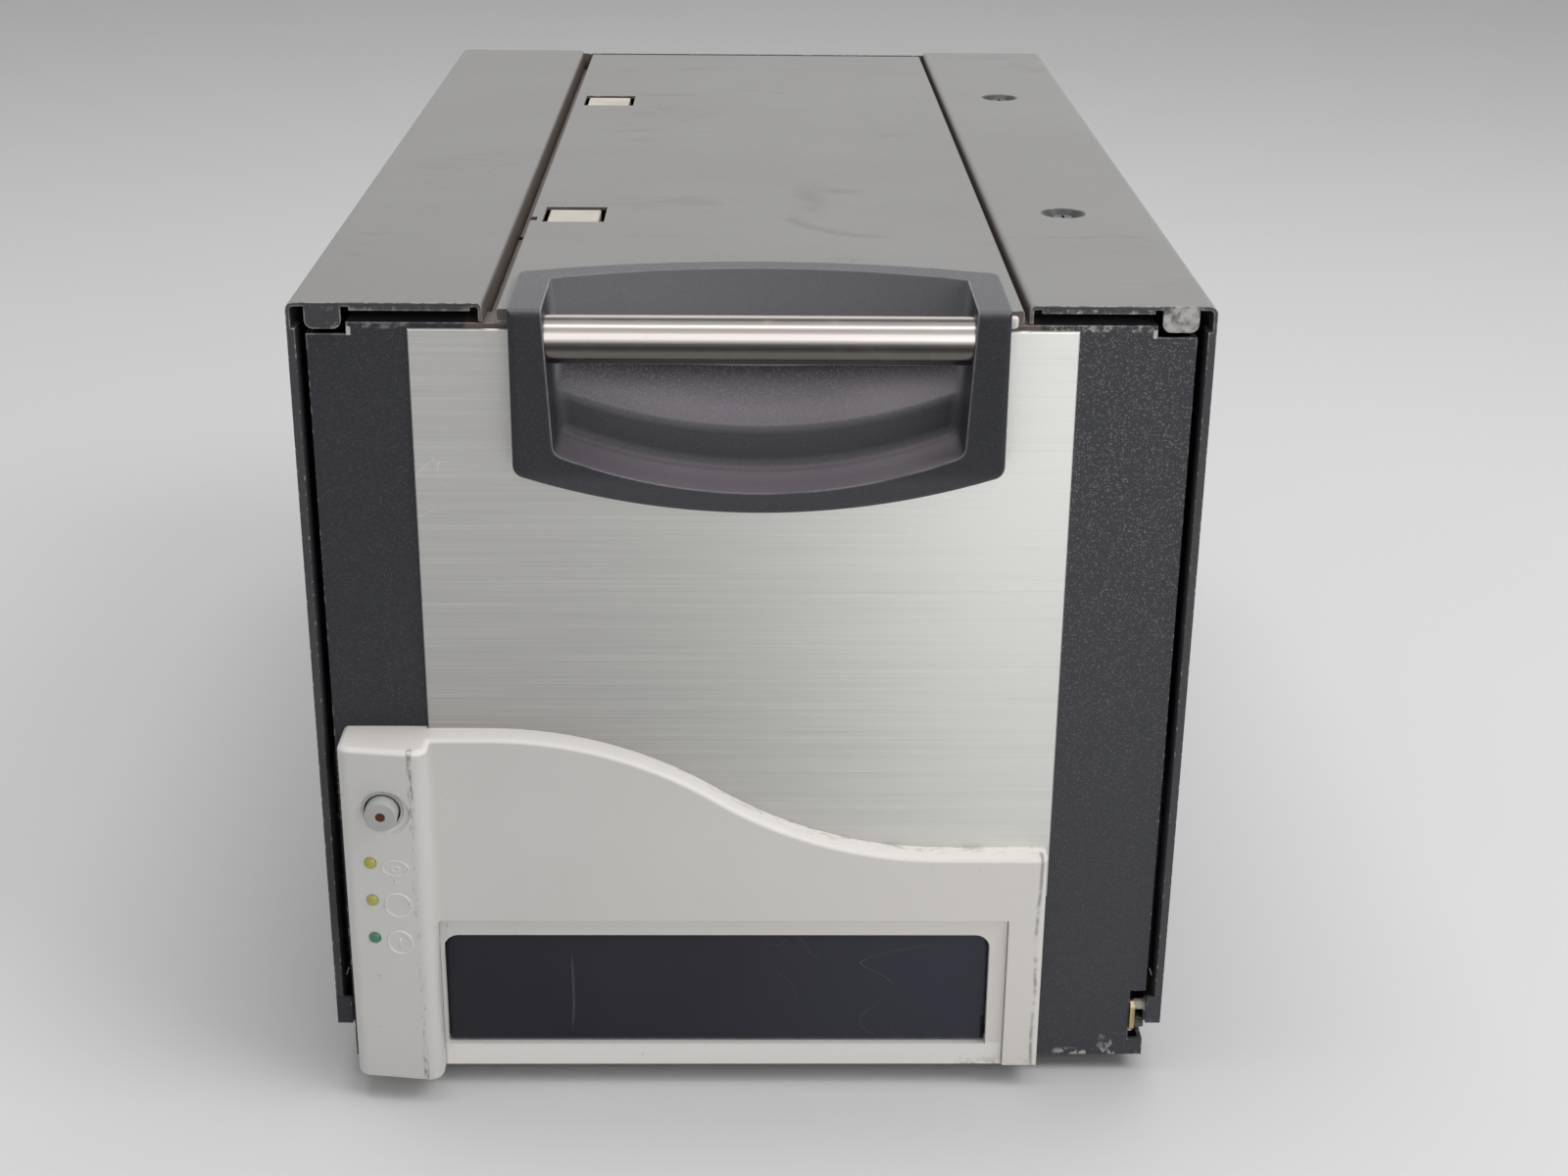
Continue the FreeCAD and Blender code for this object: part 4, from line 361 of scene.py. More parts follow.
# %% Worn coat
def worn_coat(name, tones, rough, sparkle, marks):
    f = Finish(name)
    smudge_and_shade = tones[-1]
    looks_up = f.upward().step(0.25, 0.9)
    cloud, grain = f.noise(9.0, 3.0, 0.6), f.noise(1300.0, 2.0, 0.6)
    rubbed = f.noise(13.0, 4.0, 0.65).step(0.6, 0.75) * f.noise(60.0, 3.0, 0.7).step(0.35, 0.7)
    paint = new_coat_and_painted_light(f, looks_up, tones, sparkle)
    paint = f.mix(grain.step(0.4, 0.75) * 0.2, paint, smudge_and_shade)
    paint = f.mix(rubbed * 0.3, paint, smudge_and_shade)
    dust = f.mix(f.noise(90.0, 3.0, 0.6), colour(104, 95, 91), colour(136, 122, 114))
    paint = f.mix(gap_dust(f, looks_up) * 0.85, paint, dust)
    dimple_shade = screw_dimple_shade(f)
    # Painted shade in the dimples round the screws, which are also made glossier.
    paint = f.mix(dimple_shade * 0.9, paint, colour(62, 61, 63))
    paint = f.mix(f.scratches(48.0, 0.0025, 0.3) * 0.18, paint, bare_steel_and_glint)
    brushed_by = f.noise(15.0, 4.0, 0.65, (1.0, 2.2, 1.0)).step(0.6, 0.7) * looks_up
    dragged = f.scratches(22.0, 0.004, 0.38, (1.0, 2.0, 1.0)) * looks_up
    paint = f.mix((brushed_by * marks).most(dragged * marks * 1.4), paint, colour(96, 90, 88))
    paint = f.mix(lid_smudges(f, looks_up) * 0.6, paint, colour(98, 91, 88))
    bare = bare_metal(f, looks_up)
    orange_peel = f.noise(700.0, 2.0, 0.6) + grain * 0.3 - bare * 0.4
    f.set(Base_Color=f.mix(bare, paint, bare_steel_and_glint), Metallic=bare * 0.5,
          Roughness=rough + rubbed * 0.1 - bare * 0.08 + cloud * 0.06 - dimple_shade * 0.2,
          Normal=f.bump(orange_peel, 0.25, 0.00015, f.rounded_normal(0.4 * mm)))
    f.shader.inputs["Specular IOR Level"].default_value = 0.3
    return f


# Each list: the painted sheen on top, the side in painted shade at the left, the side in painted
# light at the right, and the tone of smudges and painted shade.
housing_tones = [colour(140, 139, 137), colour(58, 59, 64), colour(66, 67, 72),
                 colour(112, 110, 108)]
panel_tones = [colour(84, 84, 88), colour(49, 50, 55), colour(66, 67, 72), colour(60, 60, 66)]
housing_coat = worn_coat("housing_coat", housing_tones, rough=0.46, sparkle=0.06, marks=0.22)
panel_coat = worn_coat("panel_coat", panel_tones, rough=0.42, sparkle=0.34, marks=0.1)
print("coats:", housing_coat.material.name, panel_coat.material.name)

# %% [markdown]
# ## Brushed aluminium
# The fascia is brushed from side to side. Stretching a noise far along X and squeezing it
# along Z gives the lines, at two widths so that they don't look combed. The sheet is metal
# all over, and the lines change its colour and roughness a little.
# Its colour also carries painted light: lighter to the right, painted shade towards the bottom, and
# a painted highlight along its edges.

# %% Brushed fascia
def brushed_aluminium():
    f = Finish("brushed_aluminium")
    low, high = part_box("aluminium_fascia")
    fine = f.noise(1.0, 2.0, 0.6, (14.0, 14.0, 3200.0))
    broad = f.noise(1.0, 2.0, 0.6, (3.5, 3.5, 700.0))
    lines = fine * 0.65 + broad * 0.35
    # Painted light: lighter towards the right.
    across = f.x.step(low.x, high.x)
    metal = f.mix(across * across, colour(196, 195, 192), colour(254, 255, 249))
    # Painted shade: darker towards the bottom.
    metal = f.mix(f.z.step(0.255, 0.08) * 0.27, metal, colour(0, 0, 0))
    metal = f.mix(lines.step(0.42, 0.7) * 0.2, metal, colour(246, 246, 241))
    metal = f.mix(lines.step(0.5, 0.28) * 0.14, metal, colour(150, 149, 146))
    # Painted highlight along the edges.
    metal = f.mix(f.edges(0.8 * mm).step(0.03, 0.25) * 0.8, metal, colour(254, 254, 246))
    near_left = f.x.step(low.x + 16 * mm, low.x) * f.within(f.z, 0.193, 0.219, 0.003)
    nicks = near_left * f.scratches(60.0, 0.004, 0.6)
    smears = f.noise(38.0, 4.0, 0.7).step(0.66, 0.76) * f.z.step(0.235, 0.255)
    metal = f.mix(nicks * 0.7, metal, colour(236, 236, 230))
    f.set(Base_Color=f.mix(smears * 0.4, metal, colour(112, 110, 106)), Metallic=1.0,
          Roughness=0.36 + fine * 0.16 + smears * 0.1,
          Normal=f.bump(lines, 0.2, 0.00004, f.rounded_normal(0.3 * mm)))
    f.shader.inputs["Anisotropic"].default_value = 0.55
    return f


fascia_metal = brushed_aluminium()
print("fascia:", fascia_metal.material.name)

# %% [markdown]
# ## Turned, rolled and plated metal
# Bars, rods and shafts are ground along their length, so their streaks run along X and the
# highlight is long. Sheet and rails are zinc plated, with the soft blotches of plating.

# %% Bar and plate metals
def streaked_metal(name, light, dark, roughness, stretch):
    f = Finish(name)
    streak = f.noise(1.0, 3.0, 0.65, stretch)
    tarnish = f.noise(45.0, 3.0, 0.6).step(0.45, 0.7)
    metal = f.mix(streak.step(0.3, 0.7), light, dark)
    f.set(Base_Color=f.mix(tarnish * 0.25, metal, dark), Metallic=1.0,
          Roughness=roughness + streak * 0.1 + tarnish * 0.05,
          Normal=f.bump(streak, 0.15, 0.00004))
    return f


def plated_sheet(name, light, dark, roughness):
    f = Finish(name)
    spangle = f.cells(90.0, "Color")
    tone = f.node("SeparateColor", values={"Color": spangle})
    grain = f.noise(1400.0, 1.0)
    worn = f.edges(0.8 * mm).step(0.05, 0.3)
    metal = f.mix(tone * 0.6 + grain * 0.3, light, dark)
    f.set(Base_Color=f.mix(worn * 0.5, metal, bare_steel_and_glint), Metallic=1.0,
          Roughness=roughness + tone * 0.1 - worn * 0.08,
          Normal=f.bump(grain + f.noise(30.0) * 2.0, 0.12, 0.0001))
    return f


shaft_steel = streaked_metal("shaft_steel", colour(205, 205, 206), colour(160, 160, 162), 0.24,
                             (9.0, 700.0, 700.0))
zinc_sheet = plated_sheet("zinc_sheet", colour(196, 198, 196), colour(150, 153, 152), 0.38)
rail_steel = plated_sheet("rail_steel", colour(188, 190, 192), colour(140, 142, 145), 0.3)
screw_plate = plated_sheet("screw_plate", colour(104, 103, 104), colour(62, 61, 62), 0.24)
print("metals:", [f.material.name for f in (shaft_steel, zinc_sheet, rail_steel, screw_plate)])

# %% [markdown]
# The handle's bar is polished, so it carries long bands: light where it meets the light, dark
# where it meets the hollow and the floor. On a plain stage there is nothing dark to mirror, so
# the bands are a painted reflection, laid round the bar by which way its surface looks, and fine
# streaks run along it.

# %% Polished bar
def polished_bar():
    f = Finish("bar_steel")
    round_it = f.upward() * 0.5 + 0.5
    streak = f.noise(1.0, 3.0, 0.7, (5.0, 1100.0, 1100.0))
    greys = [(0.0, 150), (0.14, 150), (0.2, 116), (0.305, 107), (0.351, 107), (0.397, 82),
             (0.44, 60), (0.483, 66), (0.53, 101), (0.57, 140), (0.61, 200), (0.648, 252),
             (0.735, 254), (0.761, 206), (0.798, 174), (0.832, 182), (0.858, 255), (0.893, 98),
             (0.925, 80), (0.954, 62), (0.979, 84), (0.996, 214), (1.0, 214)]
    stops = [(place, colour(grey, grey * 0.965, grey * 0.94)) for place, grey in greys]
    uneven = round_it + streak * 0.014 - 0.007
    # Painted reflection: bands of grey by which way the surface looks.
    bands = f.node("ValToRGB", {"stops": stops}, {"Fac": uneven}, "Color")
    fog = f.noise(90.0, 3.0, 0.6).step(0.5, 0.8)
    f.set(Base_Color=f.mix(fog * 0.1 + streak * 0.06, bands, colour(160, 150, 142)), Metallic=1.0,
          Roughness=0.14 + fog * 0.08 + streak * 0.06, Normal=f.bump(streak, 0.1, 0.00003))
    return f


bar_steel = polished_bar()
print("bar:", bar_steel.material.name)

# %% [markdown]
# ## Mouldings
# A moulded face has a fine etched grain. The handle's bezel is a dark blue-grey plastic with
# metal flakes in it, which show as light specks. Its hollow is lit from above, and that light is
# painted into its colour: the walls are painted lighter deeper in and at the lower rim, and the
# floor carries painted light, light on its lip and lighter to the right, with painted shade to
# the left and a painted shadow close under the bar.

# %% Painted light and shade in the handle's hollow
bezel_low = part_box("handle_bezel")[0]


def wall_tone_and_light(f, cloud, inside, depth):
    wall = f.mix(cloud.step(0.3, 0.7), colour(49, 50, 55), colour(45, 46, 51))
    # Painted light: the walls are lighter deeper in.
    wall = f.mix(inside, wall, colour(128, 128, 131))
    # Painted light: the lower rim is lighter.
    lit_lower_rim = f.z.step(bezel_low.z + 15 * mm, bezel_low.z + 9 * mm) * depth.step(0, -6 * mm)
    return f.mix(lit_lower_rim, wall, colour(66, 66, 71))


def floor_tone_and_light(f, looks_up, depth):
    # Painted light on the floor: lighter in front than deeper in, and on its lip.
    lit_floor_tone = f.mix(depth.step(7 * mm, 15 * mm), colour(116, 109, 116), colour(90, 85, 91))
    lip_highlight = f.within(depth, 15 * mm, 20 * mm, 9 * mm)
    lit_floor_tone = f.mix(lip_highlight, lit_floor_tone, colour(110, 104, 111))
    # Painted shade to the left and painted light to the right.
    lit_floor_tone = f.mix(f.x.step(-0.02, -0.055) * 0.3, lit_floor_tone, colour(50, 50, 55))
    lit_floor_tone = f.mix(f.x.step(0.02, 0.05) * 0.4, lit_floor_tone, colour(140, 133, 139))
    # Painted shadow close under the bar, following the bowl of the floor.
    bowl = f.z - f.x * f.x * 1.25
    shadow_under_bar = bowl.step(0.2315, 0.2385) * depth.step(45 * mm, 42 * mm) * looks_up
    lit_floor_tone = f.mix(shadow_under_bar, lit_floor_tone, colour(16, 15, 17))
    # Painted light: the top of the rim gets a lit tone of its own.
    lit_top_rim = f.z.step(lid_z - 1.2 * mm, lid_z - 0.3 * mm)
    return f.mix(lit_top_rim, lit_floor_tone, colour(82, 81, 84))


print("the hollow starts at", round(bezel_low.z, 4), "and is toned by its depth")

# %% [markdown]
# The whole bezel mixes the two by how far a face looks up, which paints the light from above,
# adds the flakes, brighter as painted glints deeper in and on top, and paints the edges lighter,
# most of all those round the hollow: partly wear where fingers pass, partly a painted highlight.

# %% Handle bezel's flake plastic
def flake_plastic():
    f = Finish("flake_plastic")
    flake = f.node("SeparateColor", values={"Color": f.cells(2900.0, "Color")})
    looks_up = f.upward().step(0.2, 0.95)
    depth = f.y - face_y
    inside = depth.step(3 * mm, 24 * mm)
    # Painted light: faces that look up take the lit floor tones, the rest the wall tones.
    body = f.mix(looks_up, wall_tone_and_light(f, f.noise(22.0, 2.0), inside, depth),
                 floor_tone_and_light(f, looks_up, depth))
    # Painted glints: the flakes show brighter deeper in and on what looks up.
    specks = flake.step(0.72, 1.0) * (inside * 0.1 + looks_up * 0.08 + 0.05)
    body = f.mix(specks, body, colour(170, 166, 172))
    worn = f.noise(130.0, 3.0, 0.6).step(0.3, 0.6) * 0.5 + 0.5
    inner = f.x.size().step(72 * mm, 69 * mm) * 0.5 + 0.3
    # Edges painted lighter: partly wear where fingers pass, partly a painted highlight.
    rub_and_highlight = f.edges(1.1 * mm).step(0.015, 0.11) * worn * inner
    grain = f.noise(1900.0, 1.0) + flake * 0.3
    f.set(Base_Color=f.mix(rub_and_highlight, body, colour(168, 168, 175)),
          Roughness=0.42 + flake * 0.08 - rub_and_highlight * 0.06,
          Normal=f.bump(grain, 0.2, 0.00008, f.rounded_normal(0.6 * mm)))
    f.shader.inputs["Specular IOR Level"].default_value = 0.3
    return f


bezel_plastic = flake_plastic()
print("handle bezel:", bezel_plastic.material.name)

# %% [markdown]
# The lower bezel and the tray's frame are off-white. Light is painted into the plastic: it is
# palest on top and a little lighter to the right, with a painted highlight on the sill under the
# tray's door and along the edges.

# %% Off-white plastic
white_low, white_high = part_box("lower_bezel")
frame_low, frame_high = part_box("tray_frame")


def white_tone_and_light(f, cloud, edge):
    body = f.mix(cloud.step(0.3, 0.7), colour(221, 219, 216), colour(215, 213, 209))
    # Painted light: a little lighter to the right, and palest on what looks up.
    body = f.mix(f.x.step(-0.11, 0.1), body, colour(236, 232, 227))
    body = f.mix(f.upward().step(0.05, 0.6), body, colour(255, 250, 246))
    # Painted highlight on the sill under the tray's door.
    sill_highlight = f.z.step(16.4 * mm, 15.6 * mm) * f.x.step(frame_low.x, frame_low.x + mm)
    sill_highlight = sill_highlight * f.x.step(frame_high.x, frame_high.x - mm)
    body = f.mix(sill_highlight, body, colour(250, 247, 243))
    # Painted highlight along the edges.
    return f.mix(edge * 0.35, body, colour(250, 246, 242))


print("white mouldings span", round(white_high.x - white_low.x, 4))

# %% [markdown]
# Handling has left dirt at the foot, brown marks on the rounded edges, and dark rubbed lines
# down the column's right-hand corner and the bezel's right edge. Each mark is a mask: a band
# in X, Y or Z, broken up by noise.

# %% Rubbed lines, scuffs and dirt
def rubbed_corner(f):
    """The column's right-hand corner, where the line is thick at the top and the foot."""
    ridge_x = white_low.x + 23.5 * mm
    strip = f.within(f.x, ridge_x - 1.1 * mm, ridge_x + 0.5 * mm, 0.5 * mm)
    strip = strip * f.y.step(column_y + 3 * mm, column_y + 2 * mm)
    thick = f.z.step(0.098, 0.112).most(f.z.step(0.03, 0.008))
    broken = f.noise(1.0, 4.0, 0.75, (1500.0, 900.0, 230.0)) + thick * 0.1 - 0.02
    return strip * broken.step(0.5, 0.68)


def right_edge_line(f):
    """A thin line near the right edge that wanders a little from side to side."""
    side_x = white_high.x - 2.2 * mm + (f.noise(45.0, 2.0) - 0.5) * 3 * mm
    line = (f.x - side_x).size().step(0.9 * mm, 0.1 * mm)
    line = line * f.y.step(face_y - 4 * mm, face_y - 6 * mm)
    return line * (f.noise(120.0, 4.0, 0.7) + f.z.step(0.06, 0.08) * 0.12).step(0.4, 0.6)


def wave_scuff(f):
    """The top edge of the wave, from its middle to its right end."""
    wave = f.y.step(face_y - 7 * mm, face_y - 2 * mm) * f.z.step(0.066, 0.07)
    wave = wave * f.x.step(-0.04, 0.02)
    return wave * f.noise(1.0, 4.0, 0.7, (160.0, 500.0, 500.0)).step(0.5, 0.62)


def white_dirt(f, edge):
    knocks = edge * f.noise(120.0, 4.0, 0.7).step(0.66, 0.76)
    foot = f.z.step(13 * mm, 5 * mm) * f.noise(150.0, 4.0, 0.75).step(0.5, 0.62)
    foot = foot * f.x.step(frame_high.x - 26 * mm, frame_high.x - 12 * mm)
    smear = f.noise(30.0, 4.0, 0.7).step(0.62, 0.74) * f.within(f.z, 0.058, 0.074, 0.004)
    specks = f.noise(330.0, 2.0, 0.6).step(0.73, 0.78)
    dirt = knocks.most(rubbed_corner(f)).most(right_edge_line(f) * 0.8).most(foot * 0.7)
    return dirt.most(specks * 0.35).most(wave_scuff(f) * 0.55).most(smear * 0.12)


def white_moulding():
    f = Finish("white_moulding")
    cloud, edge = f.noise(14.0, 3.0), f.edges(1.6 * mm).step(0.04, 0.3)
    dirt = white_dirt(f, edge)
    grain = f.noise(2100.0, 1.0) - dirt * 0.5
    f.set(Base_Color=f.mix(dirt * 0.72, white_tone_and_light(f, cloud, edge), colour(96, 90, 84)),
          Roughness=0.46 + cloud * 0.06 + dirt * 0.18,
          Normal=f.bump(grain, 0.2, 0.00006, f.rounded_normal(0.5 * mm)))
    return f


bezel_white = white_moulding()
print("lower bezel:", bezel_white.material.name)

# %% [markdown]
# The door is smooth near-black plastic, and its light scratches run mostly up and down,
# where discs have touched it. It is painted a little lighter to the right, its edges carry a
# painted highlight, and at the foot of its right end a black patch is painted shade for the
# hinge's slot.

# %% Door plastic
door_low, door_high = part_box("tray_door")


def door_plastic():
    f = Finish("door_plastic")
    cloud = f.noise(18.0, 3.0, 0.6)
    body = f.mix(cloud.step(0.35, 0.7), colour(35, 35, 45), colour(41, 41, 50))
    # Painted light: lighter to the right.
    body = f.mix(f.x.step(-0.06, 0.075), body, colour(55, 55, 66))
    long_mark_x = door_low.x + 45.3 * mm - (f.noise(30.0, 1.0) - 0.5) * 6 * mm
    long_mark = (f.x - long_mark_x).size().step(0.5 * mm, 0.1 * mm)
    long_mark = long_mark * f.within(f.z, 0.022, 0.047, 0.004)
    score = f.scratches(24.0, 0.0015, 0.42, (0.5, 1.0, 1.6)).most(f.scratches(60.0, 0.003, 0.34))
    score = score.most(long_mark * 0.7)
    edge = f.edges(1.2 * mm).step(0.04, 0.3)
    # Light scratches, and a painted highlight along the edges.
    body = f.mix((score * 0.4).most(edge * 0.35), body, colour(124, 124, 132))
    # Painted shade: a black patch at the foot of the right end stands for the hinge's slot.
    slot_shade = f.x.step(door_high.x - 5.4 * mm, door_high.x - 5 * mm)
    slot_shade = slot_shade * f.z.step(door_low.z + 9 * mm, door_low.z + 8.5 * mm)
    f.set(Base_Color=f.mix(slot_shade, body, colour(4, 4, 5)),
          Roughness=0.3 + cloud * 0.1 + score * 0.2,
          Normal=f.bump(f.noise(900.0, 1.0) * 0.4 - score, 0.12, 0.00008,
                        f.rounded_normal(0.5 * mm)))
    f.shader.inputs["Specular IOR Level"].default_value = 0.25
    return f


door_dark = door_plastic()
print("door:", door_dark.material.name)

# %% [markdown]
# The rest of the plastics share one recipe: a grain, a slow change of tone, edges painted a
# little lighter as a painted highlight, and dust on what looks up. Rubber is the same with a
# coarser grain and no shine.

# %% Plain plastics and rubber
def plain_plastic(name, tone, roughness, grain_scale=1600.0, dust=0.25):
    f = Finish(name)
    deeper = tuple(channel * 0.82 for channel in tone[:3]) + (1.0,)
    highlight_tone = tuple(min(1.0, channel * 1.25 + 0.03) for channel in tone[:3]) + (1.0,)
    cloud = f.noise(40.0, 3.0, 0.6)
    body = f.mix(cloud.step(0.3, 0.7), tone, deeper)
    # Painted highlight: edges a little lighter.
    body = f.mix(f.edges(0.8 * mm).step(0.05, 0.3) * 0.5, body, highlight_tone)
    settled = f.upward().step(0.6, 1.0) * f.noise(60.0, 4.0, 0.7).step(0.4, 0.75) * dust
    f.set(Base_Color=f.mix(settled, body, colour(150, 146, 140)),
          Roughness=roughness + cloud * 0.1 + settled * 0.3,
          Normal=f.bump(f.noise(grain_scale, 2.0), 0.2, 0.00008))
    return f


black_plastic = plain_plastic("black_plastic", colour(38, 38, 40), 0.45)
socket_plastic = plain_plastic("socket_plastic", colour(30, 30, 31), 0.4)
button_plastic = plain_plastic("button_plastic", colour(188, 189, 186), 0.34, 2600.0, 0.05)
cream_plastic = plain_plastic("cream_plastic", colour(206, 200, 184), 0.42, 1800.0, 0.2)
gear_acetal = plain_plastic("gear_acetal", colour(226, 223, 212), 0.36, 2400.0, 0.1)
bush_acetal = plain_plastic("bush_acetal", colour(218, 210, 188), 0.38, 2400.0, 0.1)
spool_plastic = plain_plastic("spool_plastic", colour(118, 121, 126), 0.42)
motor_enamel = plain_plastic("motor_enamel", colour(42, 42, 45), 0.32, 900.0)
foot_rubber = plain_plastic("foot_rubber", colour(34, 34, 34), 0.78, 700.0)
roller_rubber = plain_plastic("roller_rubber", colour(44, 44, 46), 0.7, 1100.0, 0.1)
silicone = plain_plastic("silicone", colour(168, 84, 56), 0.55, 1300.0, 0.1)
print("plastics and rubbers: 11")

# %% [markdown]
# A lamp's lens is tinted plastic over a small light source that is off. It shows its own
# colour, painted deeper at the rim as painted shade that follows the view, and a sharp
# highlight. Glass would show the dark inside of the column, so the lens is a solid colour with a
# clear coat, and light scatters a little in it.

# %% Lenses
def lens_plastic(name, tone, deep, coat=0.8, gloss=0.5):
    f = Finish(name)
    facing = f.node("LayerWeight", {}, {"Blend": 0.35}, "Facing")
    grain = f.noise(1800.0, 2.0)
    # Painted shade: the colour is deeper where the face turns away from the view.
    f.set(Base_Color=f.mix(facing.step(0.1, 0.8) * 0.7 + grain * 0.2, tone, deep),
          Roughness=0.12 + grain * 0.08, Normal=f.bump(grain, 0.06, 0.0001))
    constants = {"Coat Weight": coat, "Specular IOR Level": gloss, "Subsurface Weight": 0.25,
                 "Subsurface Scale": 0.001}
    for socket, value in constants.items():
        f.shader.inputs[socket].default_value = value
    return f


yellow_lens = lens_plastic("yellow_lens", colour(186, 184, 60), colour(104, 104, 16))
green_lens = lens_plastic("green_lens", colour(40, 132, 88), colour(10, 66, 42))
amber_lens = lens_plastic("amber_lens", colour(100, 54, 8), colour(48, 24, 3), 0.1, 0.2)
print("lenses: yellow, green, amber")

# %% [markdown]
# ## Inside finishes
# They show when the unit is pulled out. A board has darker copper runs under its green
# resist, wound film shows its turns as fine rings, and extruded aluminium has lines.

# %% Board, film, ribbon and brass
def board_resist():
    f = Finish("board_resist")
    runs = f.node("TexWave", {"bands_direction": "DIAGONAL"},
                  {"Vector": f.place, "Scale": 55.0, "Distortion": 6.0, "Detail": 1.0}, "Fac")
    pads = f.cells(210.0).step(0.32, 0.26)
    body = f.mix(runs.step(0.45, 0.55), colour(26, 92, 48), colour(18, 70, 38))
    f.set(Base_Color=f.mix(pads * 0.5, body, colour(176, 176, 150)), Metallic=pads * 0.3,
          Roughness=0.34 + runs * 0.08, Normal=f.bump(runs + pads, 0.2, 0.00006))
    return f


def wound_web(name, tone, deep, roughness):
    f = Finish(name)
    turns = f.noise(1.0, 2.0, 0.6, (3000.0, 60.0, 60.0))
    f.set(Base_Color=f.mix(turns.step(0.35, 0.65), tone, deep),
          Roughness=roughness + turns * 0.12, Normal=f.bump(turns, 0.2, 0.00005))
    f.shader.inputs["Coat Weight"].default_value = 0.3
    return f


board_green = board_resist()
film_wound = wound_web("film_wound", colour(176, 172, 158), colour(150, 146, 134), 0.22)
ribbon_wound = wound_web("ribbon_wound", colour(112, 42, 84), colour(60, 24, 52), 0.26)
brass = streaked_metal("brass", colour(226, 208, 172), colour(176, 152, 108), 0.28,
                       (300.0, 300.0, 60.0))
drawn_aluminium = streaked_metal("drawn_aluminium", colour(204, 205, 206), colour(168, 170, 172),
                                 0.34, (8.0, 500.0, 500.0))
print("inside finishes: 5")

# %% [markdown]
# ## Which finish goes where
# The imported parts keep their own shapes. Putting a finish in a part's first material slot is
# all that dressing it takes.

# %% Dress the parts
finishes = {
    housing_coat: ["left_cover", "right_cover", "top_panel", "rear_panel"],
    panel_coat: ["front_panel", "base_pan"],
    fascia_metal: ["aluminium_fascia"],
    bezel_plastic: ["handle_bezel"],
    bar_steel: ["handle_bar"],
    bezel_white: ["lower_bezel", "tray_frame"],
    door_dark: ["tray_door"],
    button_plastic: ["button_ring", "operator_button"],
    amber_lens: ["button_lens"],
    yellow_lens: ["status_lenses"],
    green_lens: ["ready_lens"],
    cream_plastic: ["window_tabs"],
    zinc_sheet: ["left_side_plate", "right_side_plate", "cross_braces", "head_arm", "power_supply",
                 "data_ports", "tray_motor"],
    rail_steel: ["left_outer_rail", "right_outer_rail", "left_mid_rail", "right_mid_rail",
                 "left_inner_rail", "right_inner_rail"],
    screw_plate: ["cover_screws"],
    shaft_steel: ["tie_rods"],
    brass: ["latch_lever"],
    black_plastic: ["disc_tray", "left_tray_guide", "right_tray_guide", "fan_frame", "fan_rotor",
                    "power_rocker"],
    socket_plastic: ["power_inlet", "switch_body"],
    gear_acetal: ["tray_pinion", "tray_hub"],
    bush_acetal: ["shaft_bushes"],
    spool_plastic: ["film_supply_spool", "film_takeup_spool", "ribbon_supply_spool",
                    "ribbon_takeup_spool"],
    motor_enamel: ["drive_motors"],
    foot_rubber: ["rubber_feet"],
    roller_rubber: ["platen_roller"],
    silicone: ["transfer_roller"],
    board_green: ["control_board", "button_board"],
    film_wound: ["film_supply_roll"],
    ribbon_wound: ["ribbon_supply_roll"],
    drawn_aluminium: ["print_head", "heater_shroud"],
}


def dress(piece, finish):
    piece.data.materials.clear()
    piece.data.materials.append(finish.material)


for finish, names in finishes.items():
    for name in names:
        dress(nodes[name], finish)
left_out = sorted(set(nodes) - set(sum(finishes.values(), [])))
print("dressed", len(nodes) - len(left_out), "of", len(nodes), "left out", left_out)

# %% [markdown]
# ## Small pieces
# A few pieces are too small or too soft in outline for the solids: the domes on the lenses,
# the raised signs beside the lamps, the clips beside the handle and the studs on the latch.
# Each is a mesh of its own that rides on the body that carries it and moves with it.

# %% Keep a finished mesh
def keep(name, bm, finish, body):
    bmesh.ops.remove_doubles(bm, verts=bm.verts, dist=1e-6)
    bmesh.ops.recalc_face_normals(bm, faces=bm.faces)
    mesh = bpy.data.meshes.new(name)
    bm.to_mesh(mesh)
    bm.free()
    for face in mesh.polygons:
        face.use_smooth = True
    piece = bpy.data.objects.new(name, mesh)
    bpy.context.scene.collection.objects.link(piece)
    dress(piece, finish)
    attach(piece, body)
    print(name, "rides on", body, "with", len(mesh.polygons), "faces")
    return piece


# %% [markdown]
# The signs are raised lines, moulded with the column. A thin wire spun about an axis through
# its centre gives a ring or an arc. A matrix then flattens the ring to an oval, shears it to
# lie along the column's slanting face, and puts it in its place, half sunk.

# %% A raised line on the column's face
def column_face(x):
    """Where a line from the front at this X and 70 mm up meets the column."""
    hit = nodes["lower_bezel"].ray_cast(Vector((x, -0.3, 0.07)), Vector((0, 1, 0)))
    return hit[1].y


slant = (column_face(-0.121) - column_face(-0.113)) / 0.008
wire = 0.36 * mm


def on_face(x, z, squeeze=1.0, deep=0.8):
    """Shears a flat part onto the slanting face, with its height and its depth squeezed."""
    sheared = Matrix(((1, 0, 0, 0), (-slant, deep, 0, 0), (0, 0, squeeze, 0), (0, 0, 0, 1)))
    return Matrix.Translation((x, column_face(x), z)) @ sheared


def add_to(bm, part):
    """Moves a finished part's mesh into a larger one."""
    mesh = bpy.data.meshes.new("part")
    part.to_mesh(mesh)
    part.free()
    bm.from_mesh(mesh)
    bpy.data.meshes.remove(mesh)


def turn_part(bm, degrees):
    bmesh.ops.rotate(bm, verts=bm.verts, cent=(0, 0, 0),
                     matrix=Matrix.Rotation(radians(degrees), 3, "Y"))


def close_holes(bm):
    bmesh.ops.holes_fill(bm, edges=[e for e in bm.edges if e.is_boundary], sides=0)


